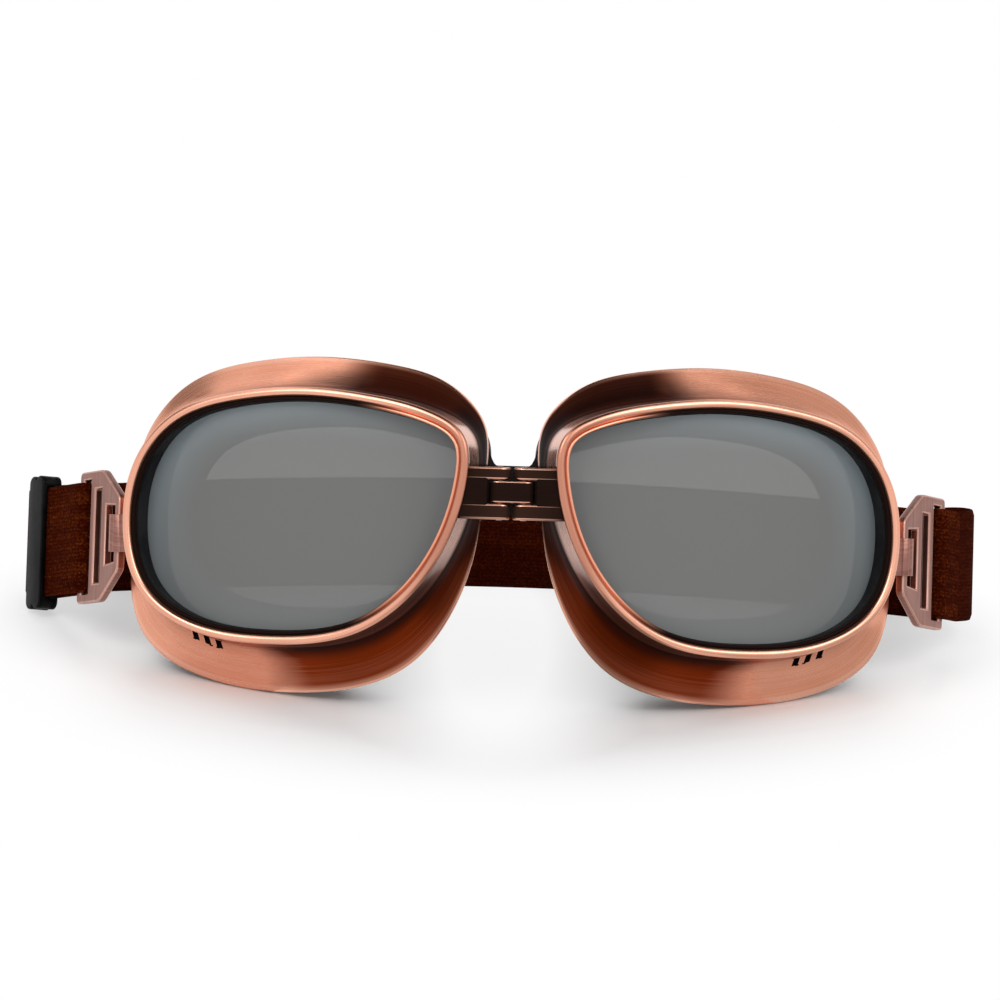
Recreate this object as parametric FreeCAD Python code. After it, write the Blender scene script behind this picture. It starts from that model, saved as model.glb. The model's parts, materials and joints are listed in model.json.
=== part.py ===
import FreeCAD
import Part
import math
import os

# Goggles with two flared eyecups on a double pivot bridge, resting on their skirts and strap.
# Millimetres and degrees. Each eyecup is drawn in its own axes: X towards the nose,
# Y back towards the face, Z up. Left is the viewer's left.

Vector = FreeCAD.Vector
ORIGIN = Vector(0, 0, 0)
SIDEWAYS = Vector(1, 0, 0)
BACK = Vector(0, 1, 0)
UP = Vector(0, 0, 1)

# Pose of the whole object
lean_angle = 22.0
wrap_angle = 20.0

# Eyecup frame
rim_width = 83.0
rim_height = 58.0
nose_half_gap = 10.3
bead_width = 2.1
rim_lip = 3.1
wall = 1.4
wall_depth = 9.0
cup_depth = 16.0
edge_depth = 0.9
seat_depth = 2.2
draft_share = 0.10
neck_depth = 1.6
bead_inner_depth = 0.9
bead_inner_shoulder = 0.25
bead_outer_shoulder = 0.3
bead_outer_depth = 0.95
lip_depth = 1.1
lip_round = 0.25
groove_depth = 0.5
groove_width = 0.3
cut_room = 1.0

# Two rings between wall and skirt edge: share of the flare's depth and added spread
first_flare = (0.36, 0.16)
first_flare_inset = 0.30
second_flare = (0.72, 0.48)
second_flare_inset = 0.15

# Vent slots at the lower temple side
vent_width = 1.5
vent_length = 2.2
vent_pitch = 2.9
vent_temple_gap = 14.5
vent_count = 3
vent_low_share = 0.62
vent_high_share = 0.36

# Lens and the ring that holds it
lens_radius = 165.0
lens_thickness = 2.0
lens_setback = 3.0
lens_grip = 0.7
lens_strips = 8
gasket_back = 11.0
gasket_bore_inset = 3.3
fit_gap = 0.1

# Inner frame and face pad
flange_thickness = 1.1
inner_frame_bore_inset = 4.6
pad_spread = 0.45
pad_depth = 11.0
pad_width = 6.4
pad_neck_inset = 1.5
pad_bulge_inset = 0.7
pad_shoulder_inset = 1.2
leather = 0.9

# Bridge hinge
hinge_height = 6.3
hinge_setback = 4.2
pin_spacing = 5.4
pin_radius = 0.8
pin_clearance = 0.05
ear_radius = 2.4
boss_height = 11.7
upper_ear = 2.8
link_height = 4.8
hinge_gap = 0.3
boss_bury = 2.1

# Nose bridge strip behind the hinge
nose_strip_width = 7.2
nose_strip_height = 12.0
nose_strip_thickness = 1.6
nose_strip_back = 15.6
nose_strip_rise = 0.6
nose_arch_share = 0.8

# Strap loop riveted to the temple lug
loop_drop = 5.0
loop_height = 8.5
loop_thickness = 0.8
loop_eye_radius = 1.8
eye_proud = 6.0
eye_depth = 13.5
lug_proud = 0.7
lug_start = 5.6
lug_length = 5.6
lug_height = 10.4
lug_root = 3.2
rivet_radius = 0.7
rivet_grip = 1.2
rivet_hole_length = 8.0
rivet_hole_start = 2.0
rivet_head_radius = 1.3
rivet_head_height = 0.6
rivet_spacing = 4.6

# Buckle, measured from the centre of its narrow bar
buckle_height = 30.4
buckle_thickness = 2.0
bar_radius = 1.1
round_bar_radius = 1.045
narrow_height = 16.8
narrow_hole_height = 12.8
wide_hole_height = 13.8
shoulder = 8.0
inner_bar = 7.0
middle_bar = 12.6
outer_bar = 18.2
short_slot_height = 18.6
strap_slot_height = 26.4
left_splay = 30.0
right_splay = 30.0

# Strap and slider
strap_width = 25.4
strap_thickness = 1.2
strap_bend_radius = 1.25
left_straight = 40.0
left_tail = 40.0
right_straight = 24.0
right_tail = 24.0
strap_sag = 5.0
strap_reach = 75.0
strap_apex_x = 5.0
left_fold_radius = 5.0
right_fold_radius = 13.0
rear_bend_radius = 420.0
left_corner_lead = 9.0
fold_steps = 6
right_corner_lead = 22.0
joint_gap = 0.3
slider_width = 7.0
slider_height = 31.0
slider_place = 36.3
slider_plate = 1.25
slider_gap = 0.3
lobe_radius = 1.9

# The rim and the skirt edge as shares of half the rim's width and height, from the temple
# over the top to the nose and back underneath
RIM_SHAPE = (
    (-1.00, -0.06), (-0.94, 0.40), (-0.73, 0.765), (-0.36, 0.95), (0.06, 1.00),
    (0.44, 0.95), (0.795, 0.828), (0.975, 0.65), (1.00, 0.34), (0.915, -0.11),
    (0.75, -0.50), (0.40, -0.885), (-0.13, -1.00), (-0.57, -0.915), (-0.895, -0.60),
)
SKIRT_SHAPE = (
    (-1.10, -0.08), (-1.05, 0.53), (-0.805, 1.00), (-0.38, 1.21), (0.05, 1.252),
    (0.46, 1.19), (0.80, 1.005), (0.955, 0.74), (0.97, 0.40), (0.935, -0.09),
    (0.845, -0.56), (0.54, -1.145), (-0.10, -1.375), (-0.66, -1.275), (-1.045, -0.88),
)

# The middle of an eyecup in the goggles, from the rim's nose side
half_across = rim_width / 2 * math.cos(math.radians(wrap_angle))
half_back = rim_width / 2 * math.sin(math.radians(wrap_angle))
cup_centre_x = nose_half_gap + half_across
cup_centre_back = half_back - hinge_setback
boss_root_x = nose_half_gap + boss_bury
vent_first_x = vent_temple_gap - rim_width / 2


def outline(spread, inset):
    """Points of the cup's outline: spread 0 is the rim, 1 the skirt edge; inset is inwards."""
    points = []
    for rim, skirt in zip(RIM_SHAPE, SKIRT_SHAPE):
        x = (rim[0] + (skirt[0] - rim[0]) * spread) * rim_width / 2
        z = (rim[1] + (skirt[1] - rim[1]) * spread) * rim_height / 2
        points.append(Vector(x, 0, z))
    moved = []
    for index, point in enumerate(points):
        before = point - points[index - 1]
        after = points[(index + 1) % len(points)] - point
        along = before.normalize() + after.normalize()
        inward = Vector(along.z, 0, -along.x).normalize()
        moved.append(point + inward * inset)
    return moved


def knots():
    """Shared curve parameters, so that every ring of the cup lines up with the others."""
    points = outline(0, 0)
    values = [0.0]
    for index, point in enumerate(points):
        step = points[(index + 1) % len(points)] - point
        values.append(values[-1] + step.Length)
    return values


def ring(depth, spread, inset):
    """One closed smooth ring of the cup."""
    points = [Vector(point.x, depth, point.z) for point in outline(spread, inset)]
    curve = Part.BSplineCurve()
    curve.interpolate(Points=points, Parameters=knots(), PeriodicFlag=True)
    return Part.Wire([curve.toShape()])


def skinned(groups):
    """A closed solid from groups of rings: each group is one face, curved or ruled."""
    faces = []
    for rings in groups:
        wires = [ring(*values) for values in rings]
        faces += Part.makeLoft(wires, False, len(wires) == 2).Faces
    shell = Part.Shell(faces)
    shell.sewShape()
    solid = Part.Solid(shell)
    if solid.Volume < 0:
        solid.reverse()
    return solid


def ring_plate(front, back, outer, inner):
    """A flat ring between two depths; outer and inner are (spread, inset)."""
    plate = Part.Face(ring(front, *outer)).extrude(BACK * (back - front))
    hole = Part.Face(ring(front, *inner)).extrude(BACK * (back - front))
    return plate.cut(hole)


def block(x_range, y_range, z_range):
    """A box between limits on each axis."""
    size = [limits[1] - limits[0] for limits in (x_range, y_range, z_range)]
    return Part.makeBox(*size, Vector(x_range[0], y_range[0], z_range[0]))


def post(x, y, z_range, radius):
    """An upright cylinder."""
    return Part.makeCylinder(radius, z_range[1] - z_range[0], Vector(x, y, z_range[0]), UP)


def plate(points, thickness):
    """A flat plate in the XZ plane, centred on it."""
    corners = [Vector(x, -thickness / 2, z) for x, z in points]
    face = Part.Face(Part.makePolygon(corners + corners[:1]))
    return face.extrude(BACK * thickness)


def placed_cup(shape):
    """Moves a piece of the left eyecup from its own axes to the goggles."""
    moved = shape.copy()
    moved.rotate(ORIGIN, UP, -wrap_angle)
    moved.translate(Vector(-cup_centre_x, cup_centre_back, 0))
    return moved


def eye_place():
    """How far out and back the eye of a strap loop lies in the goggles."""
    eye = placed_cup(Part.Vertex(Vector(eye_x, eye_depth, 0))).Point
    return -eye.x, eye.y


def mirrored(shape):
    """The right hand copy of a left hand piece."""
    return shape.mirror(ORIGIN, SIDEWAYS)


def leaned(shape, angle=lean_angle):
    """Leans a piece back about the goggles' own origin."""
    moved = shape.copy()
    moved.rotate(ORIGIN, SIDEWAYS, -angle)
    return moved


# Rings of the wall and skirt: depth, spread and inset
neck_inset = bead_width / 6
wall_inset = wall + neck_inset
flare_depth = cup_depth - wall_depth
first_depth = wall_depth + first_flare[0] * flare_depth
second_depth = wall_depth + second_flare[0] * flare_depth
first_spread = draft_share + first_flare[1]
second_spread = draft_share + second_flare[1]
outer_rings = (
    (neck_depth, 0.0, neck_inset),
    (wall_depth, draft_share, neck_inset),
    (first_depth, first_spread, first_flare_inset),
    (second_depth, second_spread, second_flare_inset),
    (cup_depth, 1.0, 0.0),
)
cup_back = cup_depth + edge_depth
inner_frame_back = cup_back - flange_thickness
inner_rings = (
    (cup_back, 1.0, 0.85 * wall),
    (second_depth + 0.8 * wall, second_spread, wall),
    (first_depth + 0.7 * wall, first_spread, wall_inset),
    (wall_depth + 0.4 * wall, draft_share, wall_inset),
    (seat_depth, 0.0, wall_inset),
)
boss_base = hinge_height - boss_height / 2
boss_top = hinge_height + boss_height / 2
link_top = boss_top - upper_ear - hinge_gap
link_base = link_top - link_height
pin_x = pin_spacing / 2
lug_face = -rim_width / 2 - lug_proud
eye_x = -rim_width / 2 - eye_proud
lug_middle = lug_start + lug_length / 2


def cup_shell():
    """Bead, groove, lip, wall and flared skirt as one thin shell."""
    half = bead_width / 2
    bead = (
        (bead_inner_depth, 0.0, bead_width),
        (bead_inner_shoulder, 0.0, 1.6 * half),
        (0.0, 0.0, half),
        (bead_outer_shoulder, 0.0, 0.3 * half),
        (bead_outer_depth, 0.0, 0.0),
        outer_rings[0],
    )
    lip = (
        (lip_depth, 0.0, rim_lip),
        (groove_depth, 0.0, rim_lip - lip_round),
        (groove_depth, 0.0, bead_width + groove_width),
        bead[0],
    )
    edge = (outer_rings[-1], (cup_back, 1.0, 0.0))
    rear = (edge[1], inner_rings[0])
    seat = (inner_rings[-1], (seat_depth, 0.0, rim_lip))
    bore = (seat[1], lip[0])
    walls = [outer_rings, edge, rear, inner_rings, seat, bore]
    return skinned(walls + ruled_groups(bead) + ruled_groups(lip))


def cup_core():
    """The hollow of the cup behind its lip."""
    shell = Part.makeLoft([ring(*values) for values in inner_rings], False, False)
    faces = shell.Faces + [Part.Face(ring(*inner_rings[0])), Part.Face(ring(*inner_rings[-1]))]
    joined = Part.Shell(faces)
    joined.sewShape()
    solid = Part.Solid(joined)
    if solid.Volume < 0:
        solid.reverse()
    return solid


def hinge_boss():
    """The boss on the left cup with an ear above and below the link."""
    ear = block((-boss_root_x, -pin_x), (-ear_radius, ear_radius), (boss_base, boss_top))
    ear = ear.fuse(post(-pin_x, 0, (boss_base, boss_top), ear_radius))
    room = (link_base - hinge_gap, link_top + hinge_gap)
    pocket_radius = ear_radius + hinge_gap
    ear = ear.cut(post(-pin_x, 0, room, pocket_radius))
    ear = ear.cut(block((-pin_x, ear_radius), (-pocket_radius, pocket_radius), room))
    return ear.cut(post(-pin_x, 0, (boss_base - cut_room, boss_top + cut_room), pin_radius + pin_clearance))


def temple_lug():
    """The flat lug that the strap loop is riveted to."""
    z_range = (-loop_drop - lug_height / 2, -loop_drop + lug_height / 2)
    return block((lug_face, lug_face + lug_root), (lug_start, lug_start + lug_length), z_range)


def rivet_holes():
    """The two holes through the lug and wall."""
    holes = []
    for share in (-0.5, 0.5):
        start = Vector(lug_face - rivet_hole_start, lug_middle, -loop_drop + share * rivet_spacing)
        holes.append(Part.makeCylinder(rivet_radius, rivet_hole_length, start, SIDEWAYS))
    return holes[0].fuse(holes[1])


def vents():
    """The slots through the foot of the wall."""
    y_range = (wall_depth - vent_length / 2, wall_depth + vent_length / 2)
    z_range = (-rim_height * vent_low_share, -rim_height * vent_high_share)
    slots = []
    for index in range(vent_count):
        x = vent_first_x + index * vent_pitch
        slots.append(block((x - vent_width / 2, x + vent_width / 2), y_range, z_range))
    return slots[0].multiFuse(slots[1:])


def left_frame():
    """The left eyecup casting."""
    core = cup_core()
    shell = cup_shell().fuse(temple_lug().cut(core))
    shell = placed_cup(shell.cut(vents()).cut(rivet_holes()))
    return shell.fuse(hinge_boss().cut(placed_cup(core)))


def lens():
    """The curved lens of the left eyecup."""
    edge_inset = gasket_bore_inset - lens_grip
    blank = Part.Face(ring(0, 0.0, edge_inset)).extrude(BACK * gasket_back)
    front = lens_arcs(lens_radius)
    back = lens_arcs(lens_radius - lens_thickness)
    ends = [
        Part.LineSegment(front[0].Vertexes[0].Point, back[0].Vertexes[0].Point).toShape(),
        Part.LineSegment(edges_end(front), edges_end(back)).toShape(),
    ]
    section = Part.Face(Part.Wire(Part.__sortEdges__(front + back + ends)))
    return blank.common(section.extrude(UP * 2 * rim_height))


def lens_arcs(radius):
    """One side of the lens section, as equal arcs across a little more than the rim's width."""
    centre = Vector(0, lens_setback + lens_radius, -rim_height)
    reach = math.asin(0.55 * rim_width / lens_radius)
    angles = [reach * (2 * step / lens_strips - 1) for step in range(lens_strips + 1)]
    edges = []
    for first, last in zip(angles, angles[1:]):
        spots = []
        for angle in (first, (first + last) / 2, last):
            spots.append(centre + Vector(math.sin(angle), -math.cos(angle), 0) * radius)
        edges.append(Part.Arc(*spots).toShape())
    return edges


def gasket():
    """The black lining that grips the lens edge."""
    outer = (0.0, wall_inset + fit_gap)
    lining = ring_plate(seat_depth, gasket_back, outer, (0.0, gasket_bore_inset))
    return lining.common(cup_core()).cut(lens())


def inner_frame():
    """The ring behind the gasket, with the flange that carries the pad."""
    outer = (0.0, wall_inset + fit_gap)
    bore = (0.0, inner_frame_bore_inset)
    holder = ring_plate(gasket_back, inner_frame_back, outer, bore)
    flange = ring_plate(inner_frame_back, cup_back, (pad_spread, pad_neck_inset), bore)
    return holder.fuse(flange).common(cup_core())


def pad_rings(skin):
    """Rings of the pad's crowned section, drawn in at the sides, the given skin inside its surface."""
    front = cup_back
    return (
        (front, pad_spread, pad_neck_inset + skin),
        (front + 0.32 * pad_depth, pad_spread, pad_bulge_inset + skin),
        (front + 0.70 * pad_depth, 0.9 * pad_spread, pad_shoulder_inset + skin),
        (front + 0.93 * pad_depth - 0.8 * skin, 0.6 * pad_spread, 0.5 * pad_width + 0.4 * skin),
        (front + pad_depth - skin, 0.3 * pad_spread, 0.85 * pad_width),
        (front + 0.91 * pad_depth - 0.8 * skin, 0.0, 1.2 * pad_width - 0.4 * skin),
        (front + 0.55 * pad_depth, 0.0, 1.3 * pad_width - skin),
        (front, 0.0, 1.1 * pad_width - skin),
    )


def ruled_groups(rings):
    """Pairs of neighbouring rings, for a solid of ruled bands."""
    return [(rings[index], rings[index + 1]) for index in range(len(rings) - 1)]


def pad_foam():
    """The foam ring under the leather."""
    rings = pad_rings(leather)
    return skinned(ruled_groups(rings) + [(rings[-1], rings[0])])


def pad_leather():
    """The leather skin round the foam, open towards the frame."""
    outside = pad_rings(0.0)
    inside = pad_rings(leather)
    ends = [(outside[0], inside[0]), (outside[-1], inside[-1])]
    return skinned(ruled_groups(outside) + ruled_groups(inside) + ends)


def strap_loop():
    """The strip on the temple lug, with an eye round the buckle's narrow bar."""
    z_range = (-loop_drop - loop_height / 2, -loop_drop + loop_height / 2)
    outside = loop_eye_radius + loop_thickness
    end = lug_start + lug_length
    base = block((lug_face - loop_thickness, lug_face), (lug_start, end), z_range)
    run_x = lug_face - loop_thickness / 2 - eye_x
    run_y = end - loop_thickness / 2 - eye_depth
    arm = block((0, math.hypot(run_x, run_y)), (-loop_thickness / 2, loop_thickness / 2), z_range)
    arm.rotate(ORIGIN, UP, math.degrees(math.atan2(run_y, run_x)))
    arm.translate(Vector(eye_x, eye_depth, 0))
    bend_x = lug_face - loop_thickness / 2
    bend = post(bend_x, end - loop_thickness / 2, z_range, loop_thickness / 2)
    solid = base.fuse([arm, bend, post(eye_x, eye_depth, z_range, outside)])
    return solid.cut(post(eye_x, eye_depth, z_range, loop_eye_radius)).cut(rivet_holes()).removeSplitter()


def loop_rivets():
    """Two rivets with low domed heads, flush inside the wall."""
    solids = []
    length = loop_thickness + rivet_grip
    for share in (-0.5, 0.5):
        seat = Vector(lug_face - loop_thickness, lug_middle, -loop_drop + share * rivet_spacing)
        top = seat - SIDEWAYS * rivet_head_height
        shank = Part.makeCylinder(rivet_radius, length, seat, SIDEWAYS)
        head = Part.makeCone(rivet_head_radius * 0.6, rivet_head_radius, rivet_head_height, top, SIDEWAYS)
        solids.append(shank.fuse(head).removeSplitter())
    return Part.makeCompound(solids)


def bridge_link():
    """The middle knuckle, with a round end on each pin."""
    z_range = (link_base, link_top)
    link = block((-pin_x, pin_x), (-ear_radius, ear_radius), z_range)
    for x in (-pin_x, pin_x):
        link = link.fuse(post(x, 0, z_range, ear_radius))
    for x in (-pin_x, pin_x):
        link = link.cut(post(x, 0, z_range, pin_radius))
    return link.removeSplitter()


def bridge_pin(x):
    """A hinge pin through both ears and the link."""
    return post(x, 0, (boss_base, boss_top), pin_radius)


def nose_bridge():
    """The leather strip between the pads, arched a little at its lower edge."""
    half = nose_strip_width / 2
    bottom = boss_top - nose_strip_height
    y_range = (nose_strip_back, nose_strip_back + nose_strip_thickness)
    strip = block((-half, half), y_range, (bottom, boss_top + nose_strip_rise))
    centre = Vector(0, 0, bottom - nose_arch_share * nose_strip_width)
    return strip.cut(Part.makeCylinder(nose_strip_width, 2 * nose_strip_back, centre, BACK))


def buckle():
    """The trapezoid buckle: X runs from the narrow bar to the outer bar."""
    half = buckle_height / 2
    body = plate(
        ((-bar_radius, -narrow_height / 2), (shoulder, -half), (outer_bar + bar_radius, -half),
         (outer_bar + bar_radius, half), (shoulder, half), (-bar_radius, narrow_height / 2)),
        buckle_thickness,
    )
    cut_thickness = buckle_thickness + 2 * cut_room
    narrow = narrow_hole_height / 2
    wide = wide_hole_height / 2
    body = body.cut(plate(
        ((-bar_radius - cut_room, -narrow), (bar_radius, -narrow), (inner_bar - bar_radius, -wide),
         (inner_bar - bar_radius, wide), (bar_radius, narrow), (-bar_radius - cut_room, narrow)),
        cut_thickness))
    for start, end, height in (
        (inner_bar + bar_radius, middle_bar - bar_radius, short_slot_height),
        (middle_bar + bar_radius, outer_bar + bar_radius + cut_room, strap_slot_height),
    ):
        body = body.cut(block((start, end), (-cut_thickness, cut_thickness), (-height / 2, height / 2)))
    vertical = [edge for edge in body.Edges if abs(edge.tangentAt(edge.FirstParameter).y) > 0.99]
    outside = [edge for edge in vertical if abs(edge.Vertexes[0].Z) > half - 0.1]
    body = body.makeFillet(bar_radius, outside)
    body = body.fuse(post(0, 0, (-narrow, narrow), round_bar_radius))
    slot_range = (-strap_slot_height / 2, strap_slot_height / 2)
    return body.fuse(post(outer_bar, 0, slot_range, round_bar_radius)).removeSplitter()


def doubled_strap(straight, tail, outer_side):
    """Strap round the buckle's outer bar: the outer layer runs to straight, the inner to tail."""
    half = strap_width / 2
    near = strap_bend_radius
    far = strap_bend_radius + strap_thickness
    z_range = (-half, half)
    bend = post(outer_bar, 0, z_range, far)
    bend = bend.cut(post(outer_bar, 0, z_range, near))
    bend = bend.cut(block((outer_bar, outer_bar + 2 * far), (-2 * far, 2 * far), z_range))
    layers = []
    for side, length in ((outer_side, straight), (-outer_side, tail)):
        limits = sorted((side * near, side * far))
        layers.append(block((outer_bar, length), limits, z_range))
    return bend.fuse(layers).removeSplitter()


def slider():
    """The strap adjuster: a plate in front of the outer layer, a bar behind it and lobed ends."""
    bar_half = strap_bend_radius - slider_gap
    layer_far = strap_bend_radius + strap_thickness + slider_gap
    front = layer_far + slider_plate
    half_width = slider_width / 2
    opening = strap_width / 2 + slider_gap
    lobe_z = slider_height / 2 - lobe_radius
    body = block((-half_width, half_width), (-bar_half, front), (-lobe_z, lobe_z))
    for x in (-half_width + lobe_radius, half_width - lobe_radius):
        for z in (-lobe_z, lobe_z):
            lobe = Part.makeCylinder(lobe_radius, bar_half + front, Vector(x, -bar_half, z), BACK)
            body = body.fuse(lobe)
    slot = block((-slider_width, slider_width), (bar_half, layer_far), (-opening, opening))
    body = body.cut(slot).removeSplitter()
    body.translate(Vector(slider_place, 0, 0))
    return body


def buckle_turn(side):
    """Turn about the upright axis that points a buckle's X outwards and back."""
    return 90 + left_splay if side < 0 else 90 - right_splay


def extent(shape):
    """The lowest and highest corner of a shape."""
    points = shape.tessellate(0.05)[0]
    low = Vector(*(min(point[axis] for point in points) for axis in range(3)))
    high = Vector(*(max(point[axis] for point in points) for axis in range(3)))
    return low, high


def leaned_point(x, back, up):
    """A place in the goggles after the lean."""
    point = Part.Vertex(Vector(x, back, up))
    return leaned(point).Point


def placed_end(shape, side):
    """Moves a buckle, strap end or slider from its own axes to its strap loop."""
    moved = shape.copy()
    moved.rotate(ORIGIN, UP, buckle_turn(side))
    moved.rotate(ORIGIN, SIDEWAYS, -end_lean)
    moved.translate(leaned_point(side * loop_x, loop_back, -loop_drop))
    return moved


def end_point(side, length):
    """The lower edge of a strap end's outer layer, and its heading on the floor."""
    middle = strap_bend_radius + strap_thickness / 2
    outer = middle if side < 0 else -middle
    bottom = placed_end(Part.Vertex(Vector(length, outer, -strap_width / 2)), side).Point
    turn = math.radians(buckle_turn(side))
    return bottom, Vector(math.cos(turn), math.sin(turn), 0)


def rounded_path(points, radii):
    """Places and headings along straight runs joined by tangent arcs of the given radii."""
    stations = [(points[0], (points[1] - points[0]).normalize())]
    for index, radius in enumerate(radii):
        corner = points[index + 1]
        into = (corner - points[index]).normalize()
        out = (points[index + 2] - corner).normalize()
        turn = into.getAngle(out)
        first = corner - into * (radius * math.tan(turn / 2))
        side = (out - into * into.dot(out)).normalize()
        for step in range(fold_steps + 1):
            angle = turn * step / fold_steps
            place = first + into * (radius * math.sin(angle)) + side * (radius * (1 - math.cos(angle)))
            stations.append((place, into * math.cos(angle) + side * math.sin(angle)))
    return stations + [(points[-1], (points[-1] - points[-2]).normalize())]


def strap_rear(floor, skirt_line):
    """The rear run of the strap, from the raised strap ends down to its lower edge on the floor."""
    left, left_heading = end_point(-1, left_straight + joint_gap)
    right, right_heading = end_point(1, right_straight + joint_gap)
    left_lift = left.z - floor
    right_lift = right.z - floor
    left.z = floor
    right.z = floor
    points = [
        left,
        left + left_heading * left_corner_lead,
        Vector(strap_apex_x, skirt_line + strap_reach, floor),
        right + right_heading * right_corner_lead,
        right,
    ]
    stations = rounded_path(points, (left_fold_radius, rear_bend_radius, right_fold_radius))
    lean = math.radians(end_lean)
    rise = Vector(0, math.sin(lean), math.cos(lean)) * strap_width
    sections = []
    for index, (place, heading) in enumerate(stations):
        across = Vector(-heading.y, heading.x, 0) * (strap_thickness / 2)
        from_left = index / (fold_steps + 1)
        from_right = (len(stations) - 1 - index) / (fold_steps + 1)
        lift = UP * (left_lift * max(0, 1 - from_left) + right_lift * max(0, 1 - from_right))
        low = place + lift
        corners = [low - across, low + across, low + across + rise, low - across + rise]
        sections.append(Part.makePolygon(corners + corners[:1]))
    return Part.makeLoft(sections, True, True)


def edges_end(edges):
    """The last point of a run of edges."""
    return edges[-1].Vertexes[-1].Point


pieces = {}
pieces["left_frame"] = left_frame()
for name, maker in (
    ("lens", lens),
    ("lens_gasket", gasket),
    ("inner_frame", inner_frame),
    ("pad_foam", pad_foam),
    ("pad_leather", pad_leather),
    ("strap_loop", strap_loop),
    ("loop_rivets", loop_rivets),
):
    pieces["left_" + name] = placed_cup(maker())
for name in list(pieces):
    pieces[name.replace("left_", "right_")] = mirrored(pieces[name])
pieces["bridge_link"] = bridge_link()
pieces["left_bridge_pin"] = bridge_pin(-pin_x)
pieces["right_bridge_pin"] = bridge_pin(pin_x)
pieces["nose_bridge"] = nose_bridge()

end_lean = lean_angle + strap_sag
loop_x, loop_back = eye_place()
pieces = {name: leaned(shape) for name, shape in pieces.items()}
frame_low = extent(pieces["left_frame"])[0]
skirt_line = leaned_point(0, cup_centre_back + cup_back, -rim_height / 2).y
pieces["left_buckle"] = placed_end(buckle(), -1)
pieces["right_buckle"] = placed_end(buckle(), 1)
pieces["left_strap_end"] = placed_end(doubled_strap(left_straight, left_tail, 1), -1)
pieces["right_strap_end"] = placed_end(doubled_strap(right_straight, right_tail, -1), 1)
pieces["strap_slider"] = placed_end(slider(), -1)
pieces["strap_rear"] = strap_rear(frame_low.z, skirt_line)

# The origin is under the middle of the whole object, on the surface that it rests on
low, high = extent(Part.makeCompound(list(pieces.values())))
home = Vector(-(low.x + high.x) / 2, -(low.y + high.y) / 2, -low.z)

os.makedirs("parts", exist_ok=True)
for name, shape in pieces.items():
    shape.translate(home)
    shape.exportStep("parts/" + name + ".step")
    print(name, len(shape.Solids), round(shape.Volume, 2), shape.isValid())

print("size", tuple(round(value, 2) for value in high - low))
print("hinge axis", 0, math.sin(math.radians(lean_angle)), math.cos(math.radians(lean_angle)))
print("end axis", 0, math.sin(math.radians(end_lean)), math.cos(math.radians(end_lean)))
for label, place in (
    ("left_bridge_pin", (-pin_x, 0, hinge_height)),
    ("right_bridge_pin", (pin_x, 0, hinge_height)),
    ("left_loop", (-loop_x, loop_back, -loop_drop)),
    ("right_loop", (loop_x, loop_back, -loop_drop)),
):
    print(label, tuple(round(value, 4) for value in leaned_point(*place) + home))
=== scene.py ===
"""Looks of the folding bridge goggles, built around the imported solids."""

import json
import logging
import math
from dataclasses import dataclass, field
from enum import Enum
from typing import Callable, Iterable, Sequence

import bmesh
import bpy
import numpy as np
from bpy.types import Material, Mesh, Node, NodeSocket, NodeTree, Object
from mathutils import Matrix, Vector


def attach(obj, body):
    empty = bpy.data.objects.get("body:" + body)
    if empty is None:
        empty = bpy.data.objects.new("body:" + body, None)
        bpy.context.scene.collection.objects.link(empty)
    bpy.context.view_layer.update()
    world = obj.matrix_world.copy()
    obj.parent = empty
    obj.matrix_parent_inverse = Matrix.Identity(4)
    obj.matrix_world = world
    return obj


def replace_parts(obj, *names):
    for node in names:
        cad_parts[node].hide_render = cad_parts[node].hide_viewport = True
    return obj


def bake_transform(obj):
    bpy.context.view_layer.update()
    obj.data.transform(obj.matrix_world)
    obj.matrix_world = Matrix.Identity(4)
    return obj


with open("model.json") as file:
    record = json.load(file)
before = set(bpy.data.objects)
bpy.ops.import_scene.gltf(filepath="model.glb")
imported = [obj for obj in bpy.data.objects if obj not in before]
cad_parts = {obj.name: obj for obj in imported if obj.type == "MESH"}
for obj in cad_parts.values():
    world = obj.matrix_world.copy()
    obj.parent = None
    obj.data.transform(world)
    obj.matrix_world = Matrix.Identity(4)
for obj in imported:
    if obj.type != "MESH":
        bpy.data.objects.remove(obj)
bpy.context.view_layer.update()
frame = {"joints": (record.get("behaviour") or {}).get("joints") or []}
LOG = logging.getLogger("goggles")
MM = 0.001
SHARP_ANGLE = math.radians(50)
BEVEL_ANGLE = math.radians(35)
SLIM_SHARE = 0.33
MIX_INPUTS = (0, 6, 7)
MIX_RESULT = 2
Pair = tuple[float, float]
Triple = tuple[float, float, float]

RIM_SHAPE = (
    (-1.00, -0.06), (-0.94, 0.40), (-0.73, 0.765), (-0.36, 0.95), (0.06, 1.00),
    (0.44, 0.95), (0.795, 0.828), (0.975, 0.65), (1.00, 0.34), (0.915, -0.11),
    (0.75, -0.50), (0.40, -0.885), (-0.13, -1.00), (-0.57, -0.915), (-0.895, -0.60),
)
SKIRT_SHAPE = (
    (-1.10, -0.08), (-1.05, 0.53), (-0.805, 1.00), (-0.38, 1.21), (0.05, 1.252),
    (0.46, 1.19), (0.80, 1.005), (0.955, 0.74), (0.97, 0.40), (0.935, -0.09),
    (0.845, -0.56), (0.54, -1.145), (-0.10, -1.375), (-0.66, -1.275), (-1.045, -0.88),
)


class Side(Enum):
    """The viewer's left or right eyecup."""

    LEFT = -1
    RIGHT = 1

    @property
    def word(self) -> str:
        """The side's word, as it starts the names of nodes and bodies."""
        return self.name.lower()


def joint_place(name: str) -> np.ndarray:
    """Where a joint's axis sits at rest.

    Args:
        name: the joint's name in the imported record.

    Returns:
        The point in millimetres in the row frame.
    """
    found = next(joint for joint in frame["joints"] if joint["name"] == name)
    return np.array(found["pos_m"]) / MM


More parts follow.
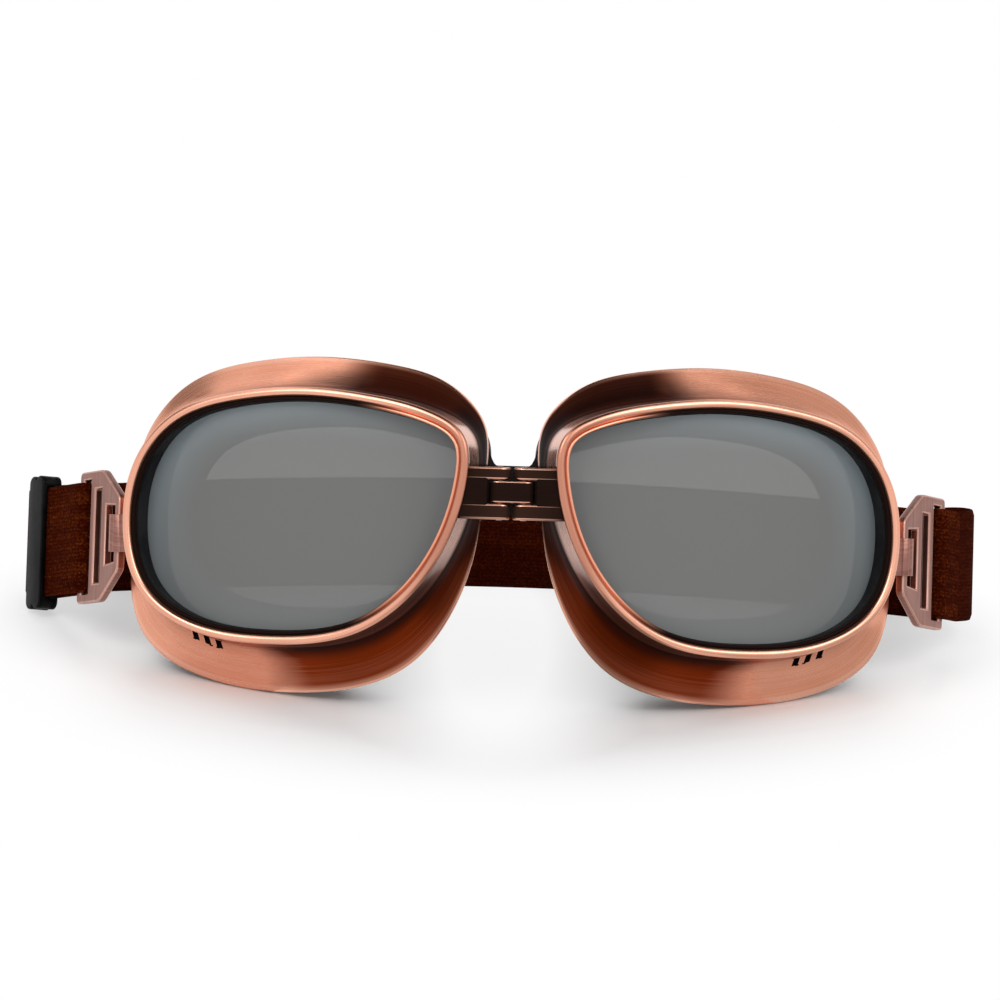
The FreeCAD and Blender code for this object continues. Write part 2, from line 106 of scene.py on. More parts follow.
@dataclass(frozen=True)
class Placing:
    """Turns places in the goggles or one eyecup, in millimetres, into the row frame in metres."""

    lean_deg: float = 22.0
    wrap_deg: float = 20.0
    rim_half: float = 83.0 / 2
    nose_half_gap: float = 10.3
    hinge_setback: float = 4.2
    pin_x: float = 2.7
    hinge_height: float = 6.3

    @property
    def cup_x(self) -> float:
        """How far out the middle of an eyecup lies."""
        return self.nose_half_gap + self.rim_half * math.cos(math.radians(self.wrap_deg))

    @property
    def cup_back(self) -> float:
        """How far back the middle of an eyecup lies."""
        return self.rim_half * math.sin(math.radians(self.wrap_deg)) - self.hinge_setback

    def leaned(self, points: np.ndarray) -> np.ndarray:
        """Leans points of the goggles back.

        Args:
            points: rows of across, back and up.

        Returns:
            The leaned rows, still about the goggles' own origin.
        """
        turn = math.radians(self.lean_deg)
        across, back, up = np.asarray(points, float).reshape(-1, 3).T
        y = back * math.cos(turn) + up * math.sin(turn)
        z = up * math.cos(turn) - back * math.sin(turn)
        return np.stack([across, y, z], axis=1)

    @property
    def home(self) -> np.ndarray:
        """The goggles' own origin in the row frame, from the left bridge pin."""
        pin = self.leaned(np.array([[-self.pin_x, 0.0, self.hinge_height]]))[0]
        return joint_place("left_bridge_pivot") - pin

    def goggles(self, points: np.ndarray) -> np.ndarray:
        """Places rows of across, back and up in the row frame, in metres."""
        return (self.leaned(points) + self.home) * MM

    def cup(self, points: np.ndarray, side: Side) -> np.ndarray:
        """Places rows of one eyecup's own axes: towards the nose, back and up.

        Args:
            points: rows in the eyecup's axes.
            side: which eyecup.

        Returns:
            Rows in the row frame, in metres.
        """
        turn = math.radians(self.wrap_deg)
        nose, back, up = np.asarray(points, float).reshape(-1, 3).T
        x = -self.cup_x + nose * math.cos(turn) + back * math.sin(turn)
        y = self.cup_back - nose * math.sin(turn) + back * math.cos(turn)
        return self.goggles(np.stack([x * -side.value, y, up], axis=1))

    def uncup(self, points: np.ndarray, side: Side) -> np.ndarray:
        """Takes places back to one eyecup's own axes.

        Args:
            points: rows in the row frame, in metres.
            side: which eyecup.

        Returns:
            Rows of nose, back and up, in millimetres.
        """
        start = self.cup(np.zeros((1, 3)), side)
        axes = self.cup(np.eye(3), side) - start
        return (np.asarray(points, float) - start) @ np.linalg.inv(axes)


PLACING = Placing()


class Outline:
    """The smooth closed outline of an eyecup between its rim and its skirt edge."""

    half_width = PLACING.rim_half
    half_height = 58.0 / 2

    def __init__(self, count: int) -> None:
        """Prepares the periodic curve.

        Args:
            count: how many points each ring gets.
        """
        points = self.corners(0.0, 0.0)
        steps = np.linalg.norm(np.roll(points, -1, axis=0) - points, axis=1)
        self.steps = steps
        knots = np.concatenate([[0.0], np.cumsum(steps)])
        self.length = float(knots[-1])
        self.count = count
        size = len(points)
        matrix = np.zeros((size, size))
        for index in range(size):
            before, after = steps[index - 1], steps[index]
            matrix[index, index - 1] += before
            matrix[index, index] += 2 * (before + after)
            matrix[index, (index + 1) % size] += after
        self.solver = np.linalg.inv(matrix)
        spots = np.arange(count) / count * self.length
        self.span = np.clip(np.searchsorted(knots, spots, side="right") - 1, 0, size - 1)
        self.into = spots - knots[self.span]
        self.turns = spots / self.length * 2 * math.pi

    def corners(self, spread: float, inset: float) -> np.ndarray:
        """The outline's own points, moved inwards.

        Args:
            spread: 0 at the rim and 1 at the skirt edge.
            inset: how far inwards, in millimetres.

        Returns:
            Rows of nose and up.
        """
        rim, skirt = np.array(RIM_SHAPE), np.array(SKIRT_SHAPE)
        points = (rim + (skirt - rim) * spread) * (self.half_width, self.half_height)
        before = points - np.roll(points, 1, axis=0)
        after = np.roll(points, -1, axis=0) - points
        along = before / np.linalg.norm(before, axis=1)[:, None]
        along = along + after / np.linalg.norm(after, axis=1)[:, None]
        inward = np.stack([along[:, 1], -along[:, 0]], axis=1)
        inward /= np.linalg.norm(inward, axis=1)[:, None]
        return points + inward * inset

    def ring(self, depth: float, spread: float, inset: float) -> np.ndarray:
        """One ring of the eyecup in its own axes.

        Args:
            depth: how far back.
            spread: 0 at the rim and 1 at the skirt edge.
            inset: how far inwards.

        Returns:
            Rows of nose, back and up.
        """
        points = self.corners(spread, inset)
        steps = self.steps[:, None]
        slope = (np.roll(points, -1, axis=0) - points) / steps
        bends = self.solver @ (6 * (slope - np.roll(slope, 1, axis=0)))
        start, finish = points[self.span], np.roll(points, -1, axis=0)[self.span]
        first, last = bends[self.span], np.roll(bends, -1, axis=0)[self.span]
        width, into = steps[self.span], self.into[:, None]
        left = width - into
        flat = first * left**3 / (6 * width) + last * into**3 / (6 * width)
        flat = flat + (start / width - first * width / 6) * left + (finish / width - last * width / 6) * into
        return np.stack([flat[:, 0], np.full(len(flat), depth), flat[:, 1]], axis=1)


def rounding(before: np.ndarray, corner: np.ndarray, after: np.ndarray, steps: int) -> list[np.ndarray]:
    """A rounded corner.

    Args:
        before: where the rounding starts.
        corner: the sharp corner.
        after: where the rounding ends.
        steps: how many steps it takes.

    Returns:
        Its points, with both ends.
    """
    shares = [step / steps for step in range(steps + 1)]
    return [(1 - t) ** 2 * before + 2 * t * (1 - t) * corner + t * t * after for t in shares]


class Section:
    """A profile across an eyecup ring, as depth, spread and inset along its way."""

    spread_length = 8.0
    most_rounded = 0.45

    def __init__(self) -> None:
        """Starts an empty profile."""
        self.points: list[np.ndarray] = []

    def curve(self, stops: Sequence[Triple], per_span: int) -> "Section":
        """Adds a smooth run through the stops.

        Args:
            stops: depth, spread and inset of each stop.
            per_span: how many steps between two stops.

        Returns:
            The section itself.
        """
        values = np.array(stops, float)
        padded = np.vstack([2 * values[0] - values[1], values, 2 * values[-1] - values[-2]])
        for index in range(1, len(padded) - 2):
            p0, p1, p2, p3 = padded[index - 1 : index + 3]
            for step in range(per_span):
                t = step / per_span
                self.points.append(
                    0.5 * (2 * p1 + (p2 - p0) * t + (2 * p0 - 5 * p1 + 4 * p2 - p3) * t * t
                           + (3 * p1 - p0 - 3 * p2 + p3) * t**3)
                )
        self.points.append(values[-1])
        return self

    def rounded(self, stops: Sequence[Triple], radius: float, steps: int = 4) -> "Section":
        """Adds straight runs with rounded corners between the first and last stop.

        Args:
            stops: depth, spread and inset of each corner.
            radius: how far before a corner the rounding starts.
            steps: how many steps a rounding takes.

        Returns:
            The section itself.
        """
        values = np.array(stops, float)
        scale = np.array([1.0, self.spread_length, 1.0])
        for index in range(1, len(values) - 1):
            corner = values[index]
            ends = []
            for other in (values[index - 1], values[index + 1]):
                run = other - corner
                length = max(1e-6, np.linalg.norm(run * scale))
                ends.append(corner + run * min(self.most_rounded, radius / length))
            self.points += rounding(ends[0], corner, ends[1], steps)
        return self


def new_object(name: str, mesh: Mesh) -> Object:
    """Links a mesh into the scene as a named piece.

    Args:
        name: the piece's name.
        mesh: its mesh.

    Returns:
        The new object, at the origin.
    """
    made = bpy.data.objects.new(name, mesh)
    bpy.context.scene.collection.objects.link(made)
    return made


def build_mesh(name: str, points: np.ndarray, faces: Iterable[Sequence[int]],
               paths: np.ndarray | None = None) -> Mesh:
    """Makes a smooth shaded mesh with its path attribute.

    Args:
        name: the mesh's name.
        points: rows in the row frame, in metres.
        faces: corner numbers of each face.
        paths: a row for each point that the finish's pattern follows, in millimetres.

    Returns:
        The mesh, with its faces turned outwards.
    """
    mesh = bpy.data.meshes.new(name)
    mesh.from_pydata(np.asarray(points, float).tolist(), [], [list(face) for face in faces])
    if paths is None:
        paths = np.asarray(points, float) / MM
    store = mesh.attributes.new("path", "FLOAT_VECTOR", "POINT")
    store.data.foreach_set("vector", np.asarray(paths, np.float32).ravel())
    tidy = bmesh.new()
    tidy.from_mesh(mesh)
    bmesh.ops.recalc_face_normals(tidy, faces=tidy.faces)
    tidy.to_mesh(mesh)
    tidy.free()
    smoothed(mesh)
    return mesh


def smoothed(mesh: Mesh) -> None:
    """Shades a mesh smooth, apart from its sharp edges."""
    mesh.shade_smooth()
    mesh.set_sharp_from_angle(angle=SHARP_ANGLE)


def set_values(mesh: Mesh, name: str, values: float | np.ndarray) -> None:
    """Stores a number for each point, or the same one for all, under a name that a finish reads."""
    store = mesh.attributes.get(name) or mesh.attributes.new(name, "FLOAT", "POINT")
    store.data.foreach_set("value", np.full(len(mesh.vertices), values, np.float32))


def box(start: float, end: float, low: float, high: float) -> list[Pair]:
    """The corners of a flat rectangle."""
    return [(start, low), (end, low), (end, high), (start, high)]


def taken(piece: Object) -> Mesh:
    """Takes the mesh out of a piece that is only a step on the way.

    Args:
        piece: the piece, which is used up.

    Returns:
        Its mesh.
    """
    mesh = piece.data
    bpy.data.objects.remove(piece)
    return mesh


def headings(path: np.ndarray) -> np.ndarray:
    """The way that a line runs at each of its points.

    Args:
        path: the line's points.

    Returns:
        A row of length 1 for each point.
    """
    ways = np.gradient(path, axis=0)
    return ways / np.linalg.norm(ways, axis=1)[:, None]


def grid_faces(rows: int, columns: int, close_rows: bool, close_columns: bool) -> list[tuple[int, ...]]:
    """Four sided faces of a grid of points.

    Args:
        rows: how many rows of points.
        columns: how many points in a row.
        close_rows: joins the last row to the first.
        close_columns: joins each row's end to its start.

    Returns:
        The corner numbers of each face.
    """
    faces = []
    for row in range(rows if close_rows else rows - 1):
        after = (row + 1) % rows
        for column in range(columns if close_columns else columns - 1):
            beside = (column + 1) % columns
            faces.append((row * columns + column, row * columns + beside,
                          after * columns + beside, after * columns + column))
    return faces


def joined(name: str, meshes: Sequence[Mesh]) -> Object:
    """Joins closed meshes into one piece.

    Args:
        name: the piece's name.
        meshes: the meshes, which are used up.

    Returns:
        The joined object.
    """
    whole = bmesh.new()
    for mesh in meshes:
        whole.from_mesh(mesh)
    made = bpy.data.meshes.new(name)
    whole.to_mesh(made)
    whole.free()
    for mesh in meshes:
        bpy.data.meshes.remove(mesh)
    return new_object(name, made)


def baked(piece: Object) -> Object:
    """Turns a piece's modifiers into its plain mesh.

    Args:
        piece: the piece.

    Returns:
        The same piece.
    """
    bpy.context.view_layer.update()
    solved = piece.evaluated_get(bpy.context.evaluated_depsgraph_get())
    mesh = bpy.data.meshes.new_from_object(solved)
    old = piece.data
    piece.modifiers.clear()
    piece.data = mesh
    mesh.name = piece.name
    if old.users == 0:
        bpy.data.meshes.remove(old)
    return piece


def bevelled(piece: Object, width: float, segments: int = 3) -> Object:
    """Rounds a piece's sharp edges and marks the slim faces of the roundings as edge.

    Args:
        piece: the piece.
        width: the rounding in millimetres.
        segments: how many faces each rounding gets.

    Returns:
        The piece with a plain mesh.
    """
    bevel = piece.modifiers.new("rounding", "BEVEL")
    bevel.width = width * MM
    bevel.segments = segments
    bevel.limit_method = "ANGLE"
    bevel.angle_limit = BEVEL_ANGLE
    bevel.harden_normals = False
    baked(piece)
    mesh = piece.data
    slim = [face.area / sum((mesh.vertices[a].co - mesh.vertices[b].co).length for a, b in face.edge_keys)
            for face in mesh.polygons]
    store = mesh.attributes.new("edge", "FLOAT", "FACE")
    store.data.foreach_set("value", np.array(np.array(slim) < SLIM_SHARE * width * MM, np.float32))
    smoothed(mesh)
    return piece


def prism(outline: Sequence[Pair], holes: Sequence[Sequence[Pair]],
          low: float, high: float) -> tuple[np.ndarray, list[tuple[int, ...]]]:
    """A flat plate with holes, between two heights.

    Args:
        outline: its corners.
        holes: the corners of each hole.
        low: the lower height.
        high: the upper height.

    Returns:
        Rows of the two plane axes and the height, and the faces.
    """
    plate = bmesh.new()
    edges = []
    for loop in [outline, *holes]:
        corners = [plate.verts.new((x, y, low)) for x, y in loop]
        for index, corner in enumerate(corners):
            edges.append(plate.edges.new((corner, corners[(index + 1) % len(corners)])))
    bmesh.ops.triangle_fill(plate, use_beauty=True, edges=edges)
    bmesh.ops.dissolve_limit(plate, angle_limit=0.01, verts=plate.verts, edges=plate.edges)
    lifted = bmesh.ops.extrude_face_region(plate, geom=plate.faces[:])["geom"]
    for item in lifted:
        if isinstance(item, bmesh.types.BMVert):
            item.co.z = high
    plate.verts.index_update()
    points = np.array([vert.co[:] for vert in plate.verts])
    faces = [tuple(vert.index for vert in face.verts) for face in plate.faces]
    plate.free()
    return points, faces


def arc(centre: Pair, radius: float, start: float, end: float,
        steps: int) -> list[Pair]:
    """Points along an arc, by its start and end in degrees."""
    angles = np.radians(np.linspace(start, end, steps + 1))
    return [(centre[0] + radius * math.cos(a), centre[1] + radius * math.sin(a)) for a in angles]


class Sockets:
    """Small helpers for building node trees."""

    def __init__(self, tree: NodeTree) -> None:
        """Keeps the tree."""
        self.tree = tree

    def node(self, kind: str, **values: object) -> Node:
        """Adds a node.

        Args:
            kind: the node's type.
            values: its settings by name.

        Returns:
            The node.
        """
        made = self.tree.nodes.new(kind)
        for name, value in values.items():
            setattr(made, name, value)
        return made

    def link(self, source: NodeSocket, target: NodeSocket) -> None:
        """Joins two sockets."""
        self.tree.links.new(source, target)

    def feed(self, value: object, target: NodeSocket) -> None:
        """Gives a socket its value.

        Args:
            value: a plain value, or a socket to link.
            target: the socket that takes it.
        """
        if isinstance(value, NodeSocket):
            self.link(value, target)
        else:
            target.default_value = value

    def math(self, operation: str, first: object, second: object = 0.0, third: object = 0.0,
             clamp: bool = False) -> NodeSocket:
        """Adds a Math node.

        Args:
            operation: what it does.
            first: its first value or socket.
            second: its second one.
            third: its third one.
            clamp: holds the result between 0 and 1.

        Returns:
            Its result.
        """
        made = self.node("ShaderNodeMath", operation=operation, use_clamp=clamp)
        for value, target in zip((first, second, third), made.inputs):
            self.feed(value, target)
        return made.outputs[0]

    def weighed(self, first: object, share: float, second: object, other: float) -> NodeSocket:
        """Adds two values, each by its own share."""
        return self.math("ADD", self.math("MULTIPLY", first, share), self.math("MULTIPLY", second, other))

    def mix(self, share: object, first: object, second: object) -> NodeSocket:
        """Adds a colour Mix node.

        Args:
            share: how much of the second colour, as a value or socket.
            first: the first colour or its socket.
            second: the second one.

        Returns:
            Its result.
        """
        made = self.node("ShaderNodeMix", data_type="RGBA")
        for value, place in zip((share, first, second), MIX_INPUTS):
            self.feed((*value, 1.0) if isinstance(value, tuple) else value, made.inputs[place])
        return made.outputs[MIX_RESULT]

    def scaled(self, source: NodeSocket, scale: Triple) -> NodeSocket:
        """Scales a vector through a Mapping node.

        Args:
            source: the vector's socket.
            scale: its three factors.

        Returns:
            The scaled vector.
        """
        made = self.node("ShaderNodeMapping")
        self.link(source, made.inputs["Vector"])
        made.inputs["Scale"].default_value = scale
        return made.outputs[0]

    def noise(self, vector: NodeSocket, scale: object, detail: float = 4.0,
              rough: float = 0.55) -> NodeSocket:
        """Adds a Noise Texture.

        Args:
            vector: where it is read.
            scale: its scale, as a value or socket.
            detail: how many finer layers it has.
            rough: how strong those are.

        Returns:
            Its value.
        """
        made = self.node("ShaderNodeTexNoise")
        self.link(vector, made.inputs["Vector"])
        self.feed(scale, made.inputs["Scale"])
        made.inputs["Detail"].default_value = detail
        made.inputs["Roughness"].default_value = rough
        return made.outputs["Fac"]

    def length(self, vector: NodeSocket) -> NodeSocket:
        """Measures a vector.

        Args:
            vector: its socket.

        Returns:
            Its length.
        """
        made = self.node("ShaderNodeVectorMath", operation="LENGTH")
        self.link(vector, made.inputs[0])
        return made.outputs["Value"]

    def spread(self, value: object, low: float, high: float, first: float, last: float) -> NodeSocket:
        """Adds a Map Range node.

        Args:
            value: what it reads.
            low: where the reading starts to count.
            high: where it stops.
            first: the result at low and before it.
            last: the result at high and past it.

        Returns:
            Its result.
        """
        made = self.node("ShaderNodeMapRange")
        for entry, target in zip((value, low, high, first, last), made.inputs):
            self.feed(entry, target)
        return made.outputs[0]

    def attribute(self, name: str, output: str = "Fac") -> NodeSocket:
        """Reads an attribute of the piece."""
        made = self.node("ShaderNodeAttribute", attribute_name=name)
        return made.outputs[output]


def shader_group(name: str, inputs: dict[str, str], outputs: Sequence[str],
                 fill: Callable[[Sockets, dict, dict], None]) -> NodeTree:
    """Builds a shader node group once.

    Args:
        name: the group's name.
        inputs: the socket type of each input.
        outputs: the names of its outputs, which are plain values.
        fill: a function that builds the inside from the input and output sockets.

    Returns:
        The group, new or as it was built before.
    """
    found = bpy.data.node_groups.get(name)
    if found:
        return found
    group = bpy.data.node_groups.new(name, "ShaderNodeTree")
    for label, kind in inputs.items():
        group.interface.new_socket(label, in_out="INPUT", socket_type=kind)
    for label in outputs:
        group.interface.new_socket(label, in_out="OUTPUT", socket_type="NodeSocketFloat")
    tools = Sockets(group)
    entry = tools.node("NodeGroupInput")
    leave = tools.node("NodeGroupOutput")
    given = {label: entry.outputs[label] for label in inputs}
    wanted = {label: leave.inputs[label] for label in outputs}
    fill(tools, given, wanted)
    return group


def brushed_group() -> NodeTree:
    """Streaks that run along a path, and slow smudges.

    Returns:
        The group.
    """

    def fill(tools: Sockets, given: dict, wanted: dict) -> None:
        """Builds long thin streaks in two sizes and slow smudges.

        Args:
            tools: the group's node helper.
            given: its inputs by name.
            wanted: its outputs by name.
        """
        path = given["Path"]
        coarse = tools.noise(tools.scaled(path, (0.03, 0.03, 2.2)), 1.0, 3.0, 0.6)
        fine = tools.noise(tools.scaled(path, (0.05, 0.05, 9.0)), 1.0, 2.0, 0.5)
        smudge = tools.noise(tools.scaled(path, (0.06, 0.06, 0.10)), 1.0, 3.0, 0.5)
        streak = tools.weighed(coarse, 0.55, fine, 0.45)
        tools.link(streak, wanted["Streak"])
        tools.link(smudge, wanted["Smudge"])

    return shader_group("brushed_streaks", {"Path": "NodeSocketVector"}, ("Streak", "Smudge"), fill)


def grain_group() -> NodeTree:
    """Pebbled grain for leather and moulded rubber.

    Returns:
        The group.
    """

    def fill(tools: Sockets, given: dict, wanted: dict) -> None:
        """Builds cells with creased edges and slow wear.

        Args:
            tools: the group's node helper.
            given: its inputs by name.
            wanted: its outputs by name.
        """
        cells = tools.node("ShaderNodeTexVoronoi", feature="DISTANCE_TO_EDGE")
        tools.link(given["Vector"], cells.inputs["Vector"])
        tools.link(given["Scale"], cells.inputs["Scale"])
        crease = tools.spread(cells.outputs["Distance"], 0.0, 0.12, 0.0, 1.0)
        fuzz = tools.noise(given["Vector"], tools.math("MULTIPLY", given["Scale"], 2.5), 3.0)
        height = tools.weighed(crease, 0.8, fuzz, 0.2)
        tools.link(height, wanted["Height"])
        wear = tools.noise(given["Vector"], tools.math("MULTIPLY", given["Scale"], 0.06), 3.0)
        tools.link(wear, wanted["Wear"])

    inputs = {"Vector": "NodeSocketVector", "Scale": "NodeSocketFloat"}
    return shader_group("pebbled_grain", inputs, ("Height", "Wear"), fill)


def webbing_group() -> NodeTree:
    """Ribs and picks of narrow woven elastic along its path.

    Returns:
        The group.
    """

    def fill(tools: Sockets, given: dict, wanted: dict) -> None:
        """Builds lengthwise cords crossed by short picks, with fuzz.

        Args:
            tools: the group's node helper.
            given: its inputs by name.
            wanted: its outputs by name.
        """
        split = tools.node("ShaderNodeSeparateXYZ")
        tools.link(given["Path"], split.inputs[0])
        along, across = split.outputs["X"], split.outputs["Y"]
        cord_pitch, pick_pitch = 0.85, 0.55
        cords = tools.math("SINE", tools.math("MULTIPLY", across, 2 * math.pi / cord_pitch))
        picks = tools.math("SINE", tools.math("MULTIPLY", along, 2 * math.pi / pick_pitch))
        fuzz = tools.noise(tools.scaled(given["Path"], (2.4, 2.0, 1.0)), 1.0, 5.0, 0.65)
        bands = tools.noise(tools.scaled(given["Path"], (0.06, 0.5, 1.0)), 1.0, 3.0, 0.6)
        weave = tools.weighed(cords, 0.25, picks, 0.2)
        tools.link(tools.math("ADD", weave, tools.math("MULTIPLY", fuzz, 1.2)), wanted["Height"])
        shade = tools.weighed(fuzz, 0.75, bands, 0.30)
        tools.link(tools.math("ADD", shade, tools.math("MULTIPLY", cords, 0.025)), wanted["Shade"])

    return shader_group("elastic_webbing", {"Path": "NodeSocketVector"}, ("Height", "Shade"), fill)


class Finish:
    """A finish: its material is made once and shared."""

    name = "finish"
    slot = ""

    def material(self) -> Material:
        """Makes the finish's material once.

        Returns:
            The material, new or as made before.
        """
        found = bpy.data.materials.get(self.name)
        if found:
            return found
        made = bpy.data.materials.new(self.name)
        made.use_nodes = True
        tools = Sockets(made.node_tree)
        shader = made.node_tree.nodes["Principled BSDF"]
        self.paint(tools, shader)
        return made

    def paint(self, tools: Sockets, shader: Node) -> None:
        """Builds the finish's nodes round the shader.

        Args:
            tools: the material's node helper.
            shader: the material's shader.
        """
        raise NotImplementedError

    def bump(self, tools: Sockets, shader: Node, height: NodeSocket,
             strength: float, distance: float) -> None:
        """Feeds a height into the shader's normal.

        Args:
            tools: the material's node helper.
            shader: the shader.
            height: the height's socket.
            strength: how strong the bump is.
            distance: its depth in millimetres.
        """
        made = tools.node("ShaderNodeBump")
        made.inputs["Strength"].default_value = strength
        made.inputs["Distance"].default_value = distance * MM
        tools.link(height, made.inputs["Height"])
        tools.link(made.outputs[0], shader.inputs["Normal"])


@dataclass(frozen=True)
class CopperFinish(Finish):
    """Brushed copper plating with dark patina in its recesses, painted shade and painted dark reflection on
    the cups' nose sides and hinge, and painted highlights on its edges.
    """

    name: str = "brushed_copper"
    slot: str = "copper_plate"
    bright: Triple = (0.83, 0.345, 0.215)
    worn: Triple = (0.93, 0.55, 0.42)
    patina: Triple = (0.19, 0.024, 0.003)
    black: Triple = (0.003, 0.0008, 0.0006)
    roughness: Pair = (0.18, 0.34)
    patina_share: float = 1.0
    edge_share: float = 0.75
    lacquer_roughness: float = 0.10
    lacquer_ior: float = 2.0
    gloss: float = 0.03
    groove: float = 0.03

    def paint(self, tools: Sockets, shader: Node) -> None:
        """Streaks, smudges, patina, worn edges with painted highlights, and painted shade.

        Args:
            tools: the material's node helper.
            shader: the material's shader.
        """
        group = tools.node("ShaderNodeGroup", node_tree=brushed_group())
        tools.link(tools.attribute("path", "Vector"), group.inputs["Path"])
        streak, smudge = group.outputs["Streak"], group.outputs["Smudge"]
        # Patina in hollows plus painted shade and painted dark reflection, deeper on the cups' nose sides.
        recess = tools.math("MULTIPLY", tools.attribute("recess"), self.patina_share)
        uneven = tools.math("MULTIPLY", tools.math("SUBTRACT", streak, 0.5), 0.5)
        dark = tools.spread(tools.math("ADD", recess, uneven), 0.15, 1.0, 0.0, 1.0)
        tone = tools.mix(tools.spread(streak, 0.35, 0.65, 0.0, 0.35), self.bright, self.worn)
        tone = tools.mix(tools.spread(smudge, 0.35, 0.75, 0.0, 0.22), tone, self.patina)
        tone = tools.mix(tools.attribute("worn"), tone, self.worn)
        tone = tools.mix(dark, tone, self.patina)
        # Worn edges lightened, partly a painted highlight along the roundings.
        edge = tools.math("SUBTRACT", tools.attribute("edge"), tools.attribute("edge_fade"), clamp=True)
        polish_and_glint = tools.spread(streak, 0.3, 0.6, 0.4 * self.edge_share, self.edge_share)
        edge = tools.math("MULTIPLY", edge, polish_and_glint)
        # Painted shade: the cups' nose sides, their insides, the hinge and the vent holes are painted near
        # black.
        black = tools.math("MAXIMUM", tools.attribute("blackened"), tools.attribute("cut"))
        black = tools.math("MULTIPLY", black, tools.math("SUBTRACT", 1.0, edge))
        tone = tools.mix(black, tone, self.black)
        tone = tools.mix(edge, tone, self.worn)
        tools.link(tone, shader.inputs["Base Color"])
        rough = tools.spread(streak, 0.3, 0.7, *self.roughness)
        rough = tools.math("ADD", rough, tools.math("MULTIPLY", dark, 0.10))
        tools.link(tools.math("MULTIPLY_ADD", black, 0.12, rough), shader.inputs["Roughness"])
        tools.link(tools.spread(black, 0.65, 0.90, 1.0, 0.0), shader.inputs["Metallic"])
        tools.link(tools.attribute("lacquer"), shader.inputs["Coat Weight"])
        shader.inputs["Coat Roughness"].default_value = self.lacquer_roughness
        shader.inputs["Coat IOR"].default_value = self.lacquer_ior
        shader.inputs["Specular IOR Level"].default_value = self.gloss
        self.bump(tools, shader, streak, 0.35, self.groove)


@dataclass(frozen=True)
class SmokeLensFinish(Finish):
    """Smoke grey lens that lets a little of what is behind it through."""

    name: str = "smoke_grey_lens"
    slot: str = "smoke_lens"
    grey: Triple = (0.207, 0.208, 0.204)
    border: Triple = (0.33, 0.385, 0.41)
    clear_share: float = 0.22
    ior: float = 1.45

    def paint(self, tools: Sockets, shader: Node) -> None:
        """Even grey with faint smears in the gloss, and a painted paler reflection towards the temple and top
        of the rim.

        Args:
            tools: the material's node helper.
            shader: the material's shader.
        """
        place = tools.node("ShaderNodeTexCoord").outputs["Object"]
        smear = tools.noise(tools.scaled(place, (30.0, 30.0, 60.0)), 1.0, 2.0)
        tools.link(tools.spread(smear, 0.3, 0.7, 0.03, 0.07), shader.inputs["Roughness"])
        cloud = tools.noise(tools.scaled(place, (18.0, 18.0, 12.0)), 1.0, 1.0)
        low = tuple(0.97 * value for value in self.grey)
        tone = tools.mix(cloud, low, self.grey)
        tone = tools.mix(tools.attribute("border"), tone, self.border)
        tools.link(tone, shader.inputs["Base Color"])
        shader.inputs["Alpha"].default_value = 1 - self.clear_share
        shader.inputs["IOR"].default_value = self.ior


@dataclass(frozen=True)
class BlackFinish(Finish):
    """Black rubber, moulded plastic or leather with its grain."""

    name: str = "moulded_rubber"
    slot: str = "black_rubber"
    tone: Triple = (0.008, 0.008, 0.009)
    grey: Triple = (0.03, 0.03, 0.032)
    grain: float = 2600.0
    roughness: Pair = (0.42, 0.6)
    depth: float = 0.03
    gloss: float = 0.05

    def paint(self, tools: Sockets, shader: Node) -> None:
        """Grain in height and gloss, and a little dust.

        Args:
            tools: the material's node helper.
            shader: the material's shader.
        """
        group = tools.node("ShaderNodeGroup", node_tree=grain_group())
        tools.link(tools.node("ShaderNodeTexCoord").outputs["Object"], group.inputs["Vector"])
        group.inputs["Scale"].default_value = self.grain
        dust = tools.spread(group.outputs["Wear"], 0.4, 0.75, 0.0, 0.7)
        tools.link(tools.mix(dust, self.tone, self.grey), shader.inputs["Base Color"])
        rough = tools.spread(group.outputs["Height"], 0.1, 0.9, *self.roughness[::-1])
        tools.link(rough, shader.inputs["Roughness"])
        shader.inputs["Specular IOR Level"].default_value = self.gloss
        self.bump(tools, shader, group.outputs["Height"], 0.5, self.depth)


@dataclass(frozen=True)
class WebbingFinish(Finish):
    """Dark brown woven elastic with a soft nap."""

    name: str = "brown_webbing"
    slot: str = "brown_elastic"
    dark: Triple = (0.008, 0.0009, 0.0004)
    mid: Triple = (0.058, 0.0056, 0.0009)
    light: Triple = (0.20, 0.052, 0.009)
    nap: Triple = (0.55, 0.16, 0.06)
    gloss: float = 0.01
    depth: float = 0.18

    def paint(self, tools: Sockets, shader: Node) -> None:
        """Lengthwise cords with a velvet sheen.

        Args:
            tools: the material's node helper.
            shader: the material's shader.
        """
        group = tools.node("ShaderNodeGroup", node_tree=webbing_group())
        tools.link(tools.attribute("path", "Vector"), group.inputs["Path"])
        shade = group.outputs["Shade"]
        tone = tools.mix(tools.spread(shade, 0.32, 0.62, 0.0, 1.0), self.dark, self.mid)
        tone = tools.mix(tools.spread(shade, 0.54, 0.80, 0.0, 0.8), tone, self.light)
        tools.link(tone, shader.inputs["Base Color"])
        tools.link(tools.spread(shade, 0.2, 0.9, 0.95, 0.75), shader.inputs["Roughness"])
        shader.inputs["Specular IOR Level"].default_value = self.gloss
        shader.inputs["Sheen Weight"].default_value = 0.02
        shader.inputs["Sheen Roughness"].default_value = 0.4
        shader.inputs["Sheen Tint"].default_value = (*self.nap, 1.0)
        self.bump(tools, shader, group.outputs["Height"], 0.7, self.depth)


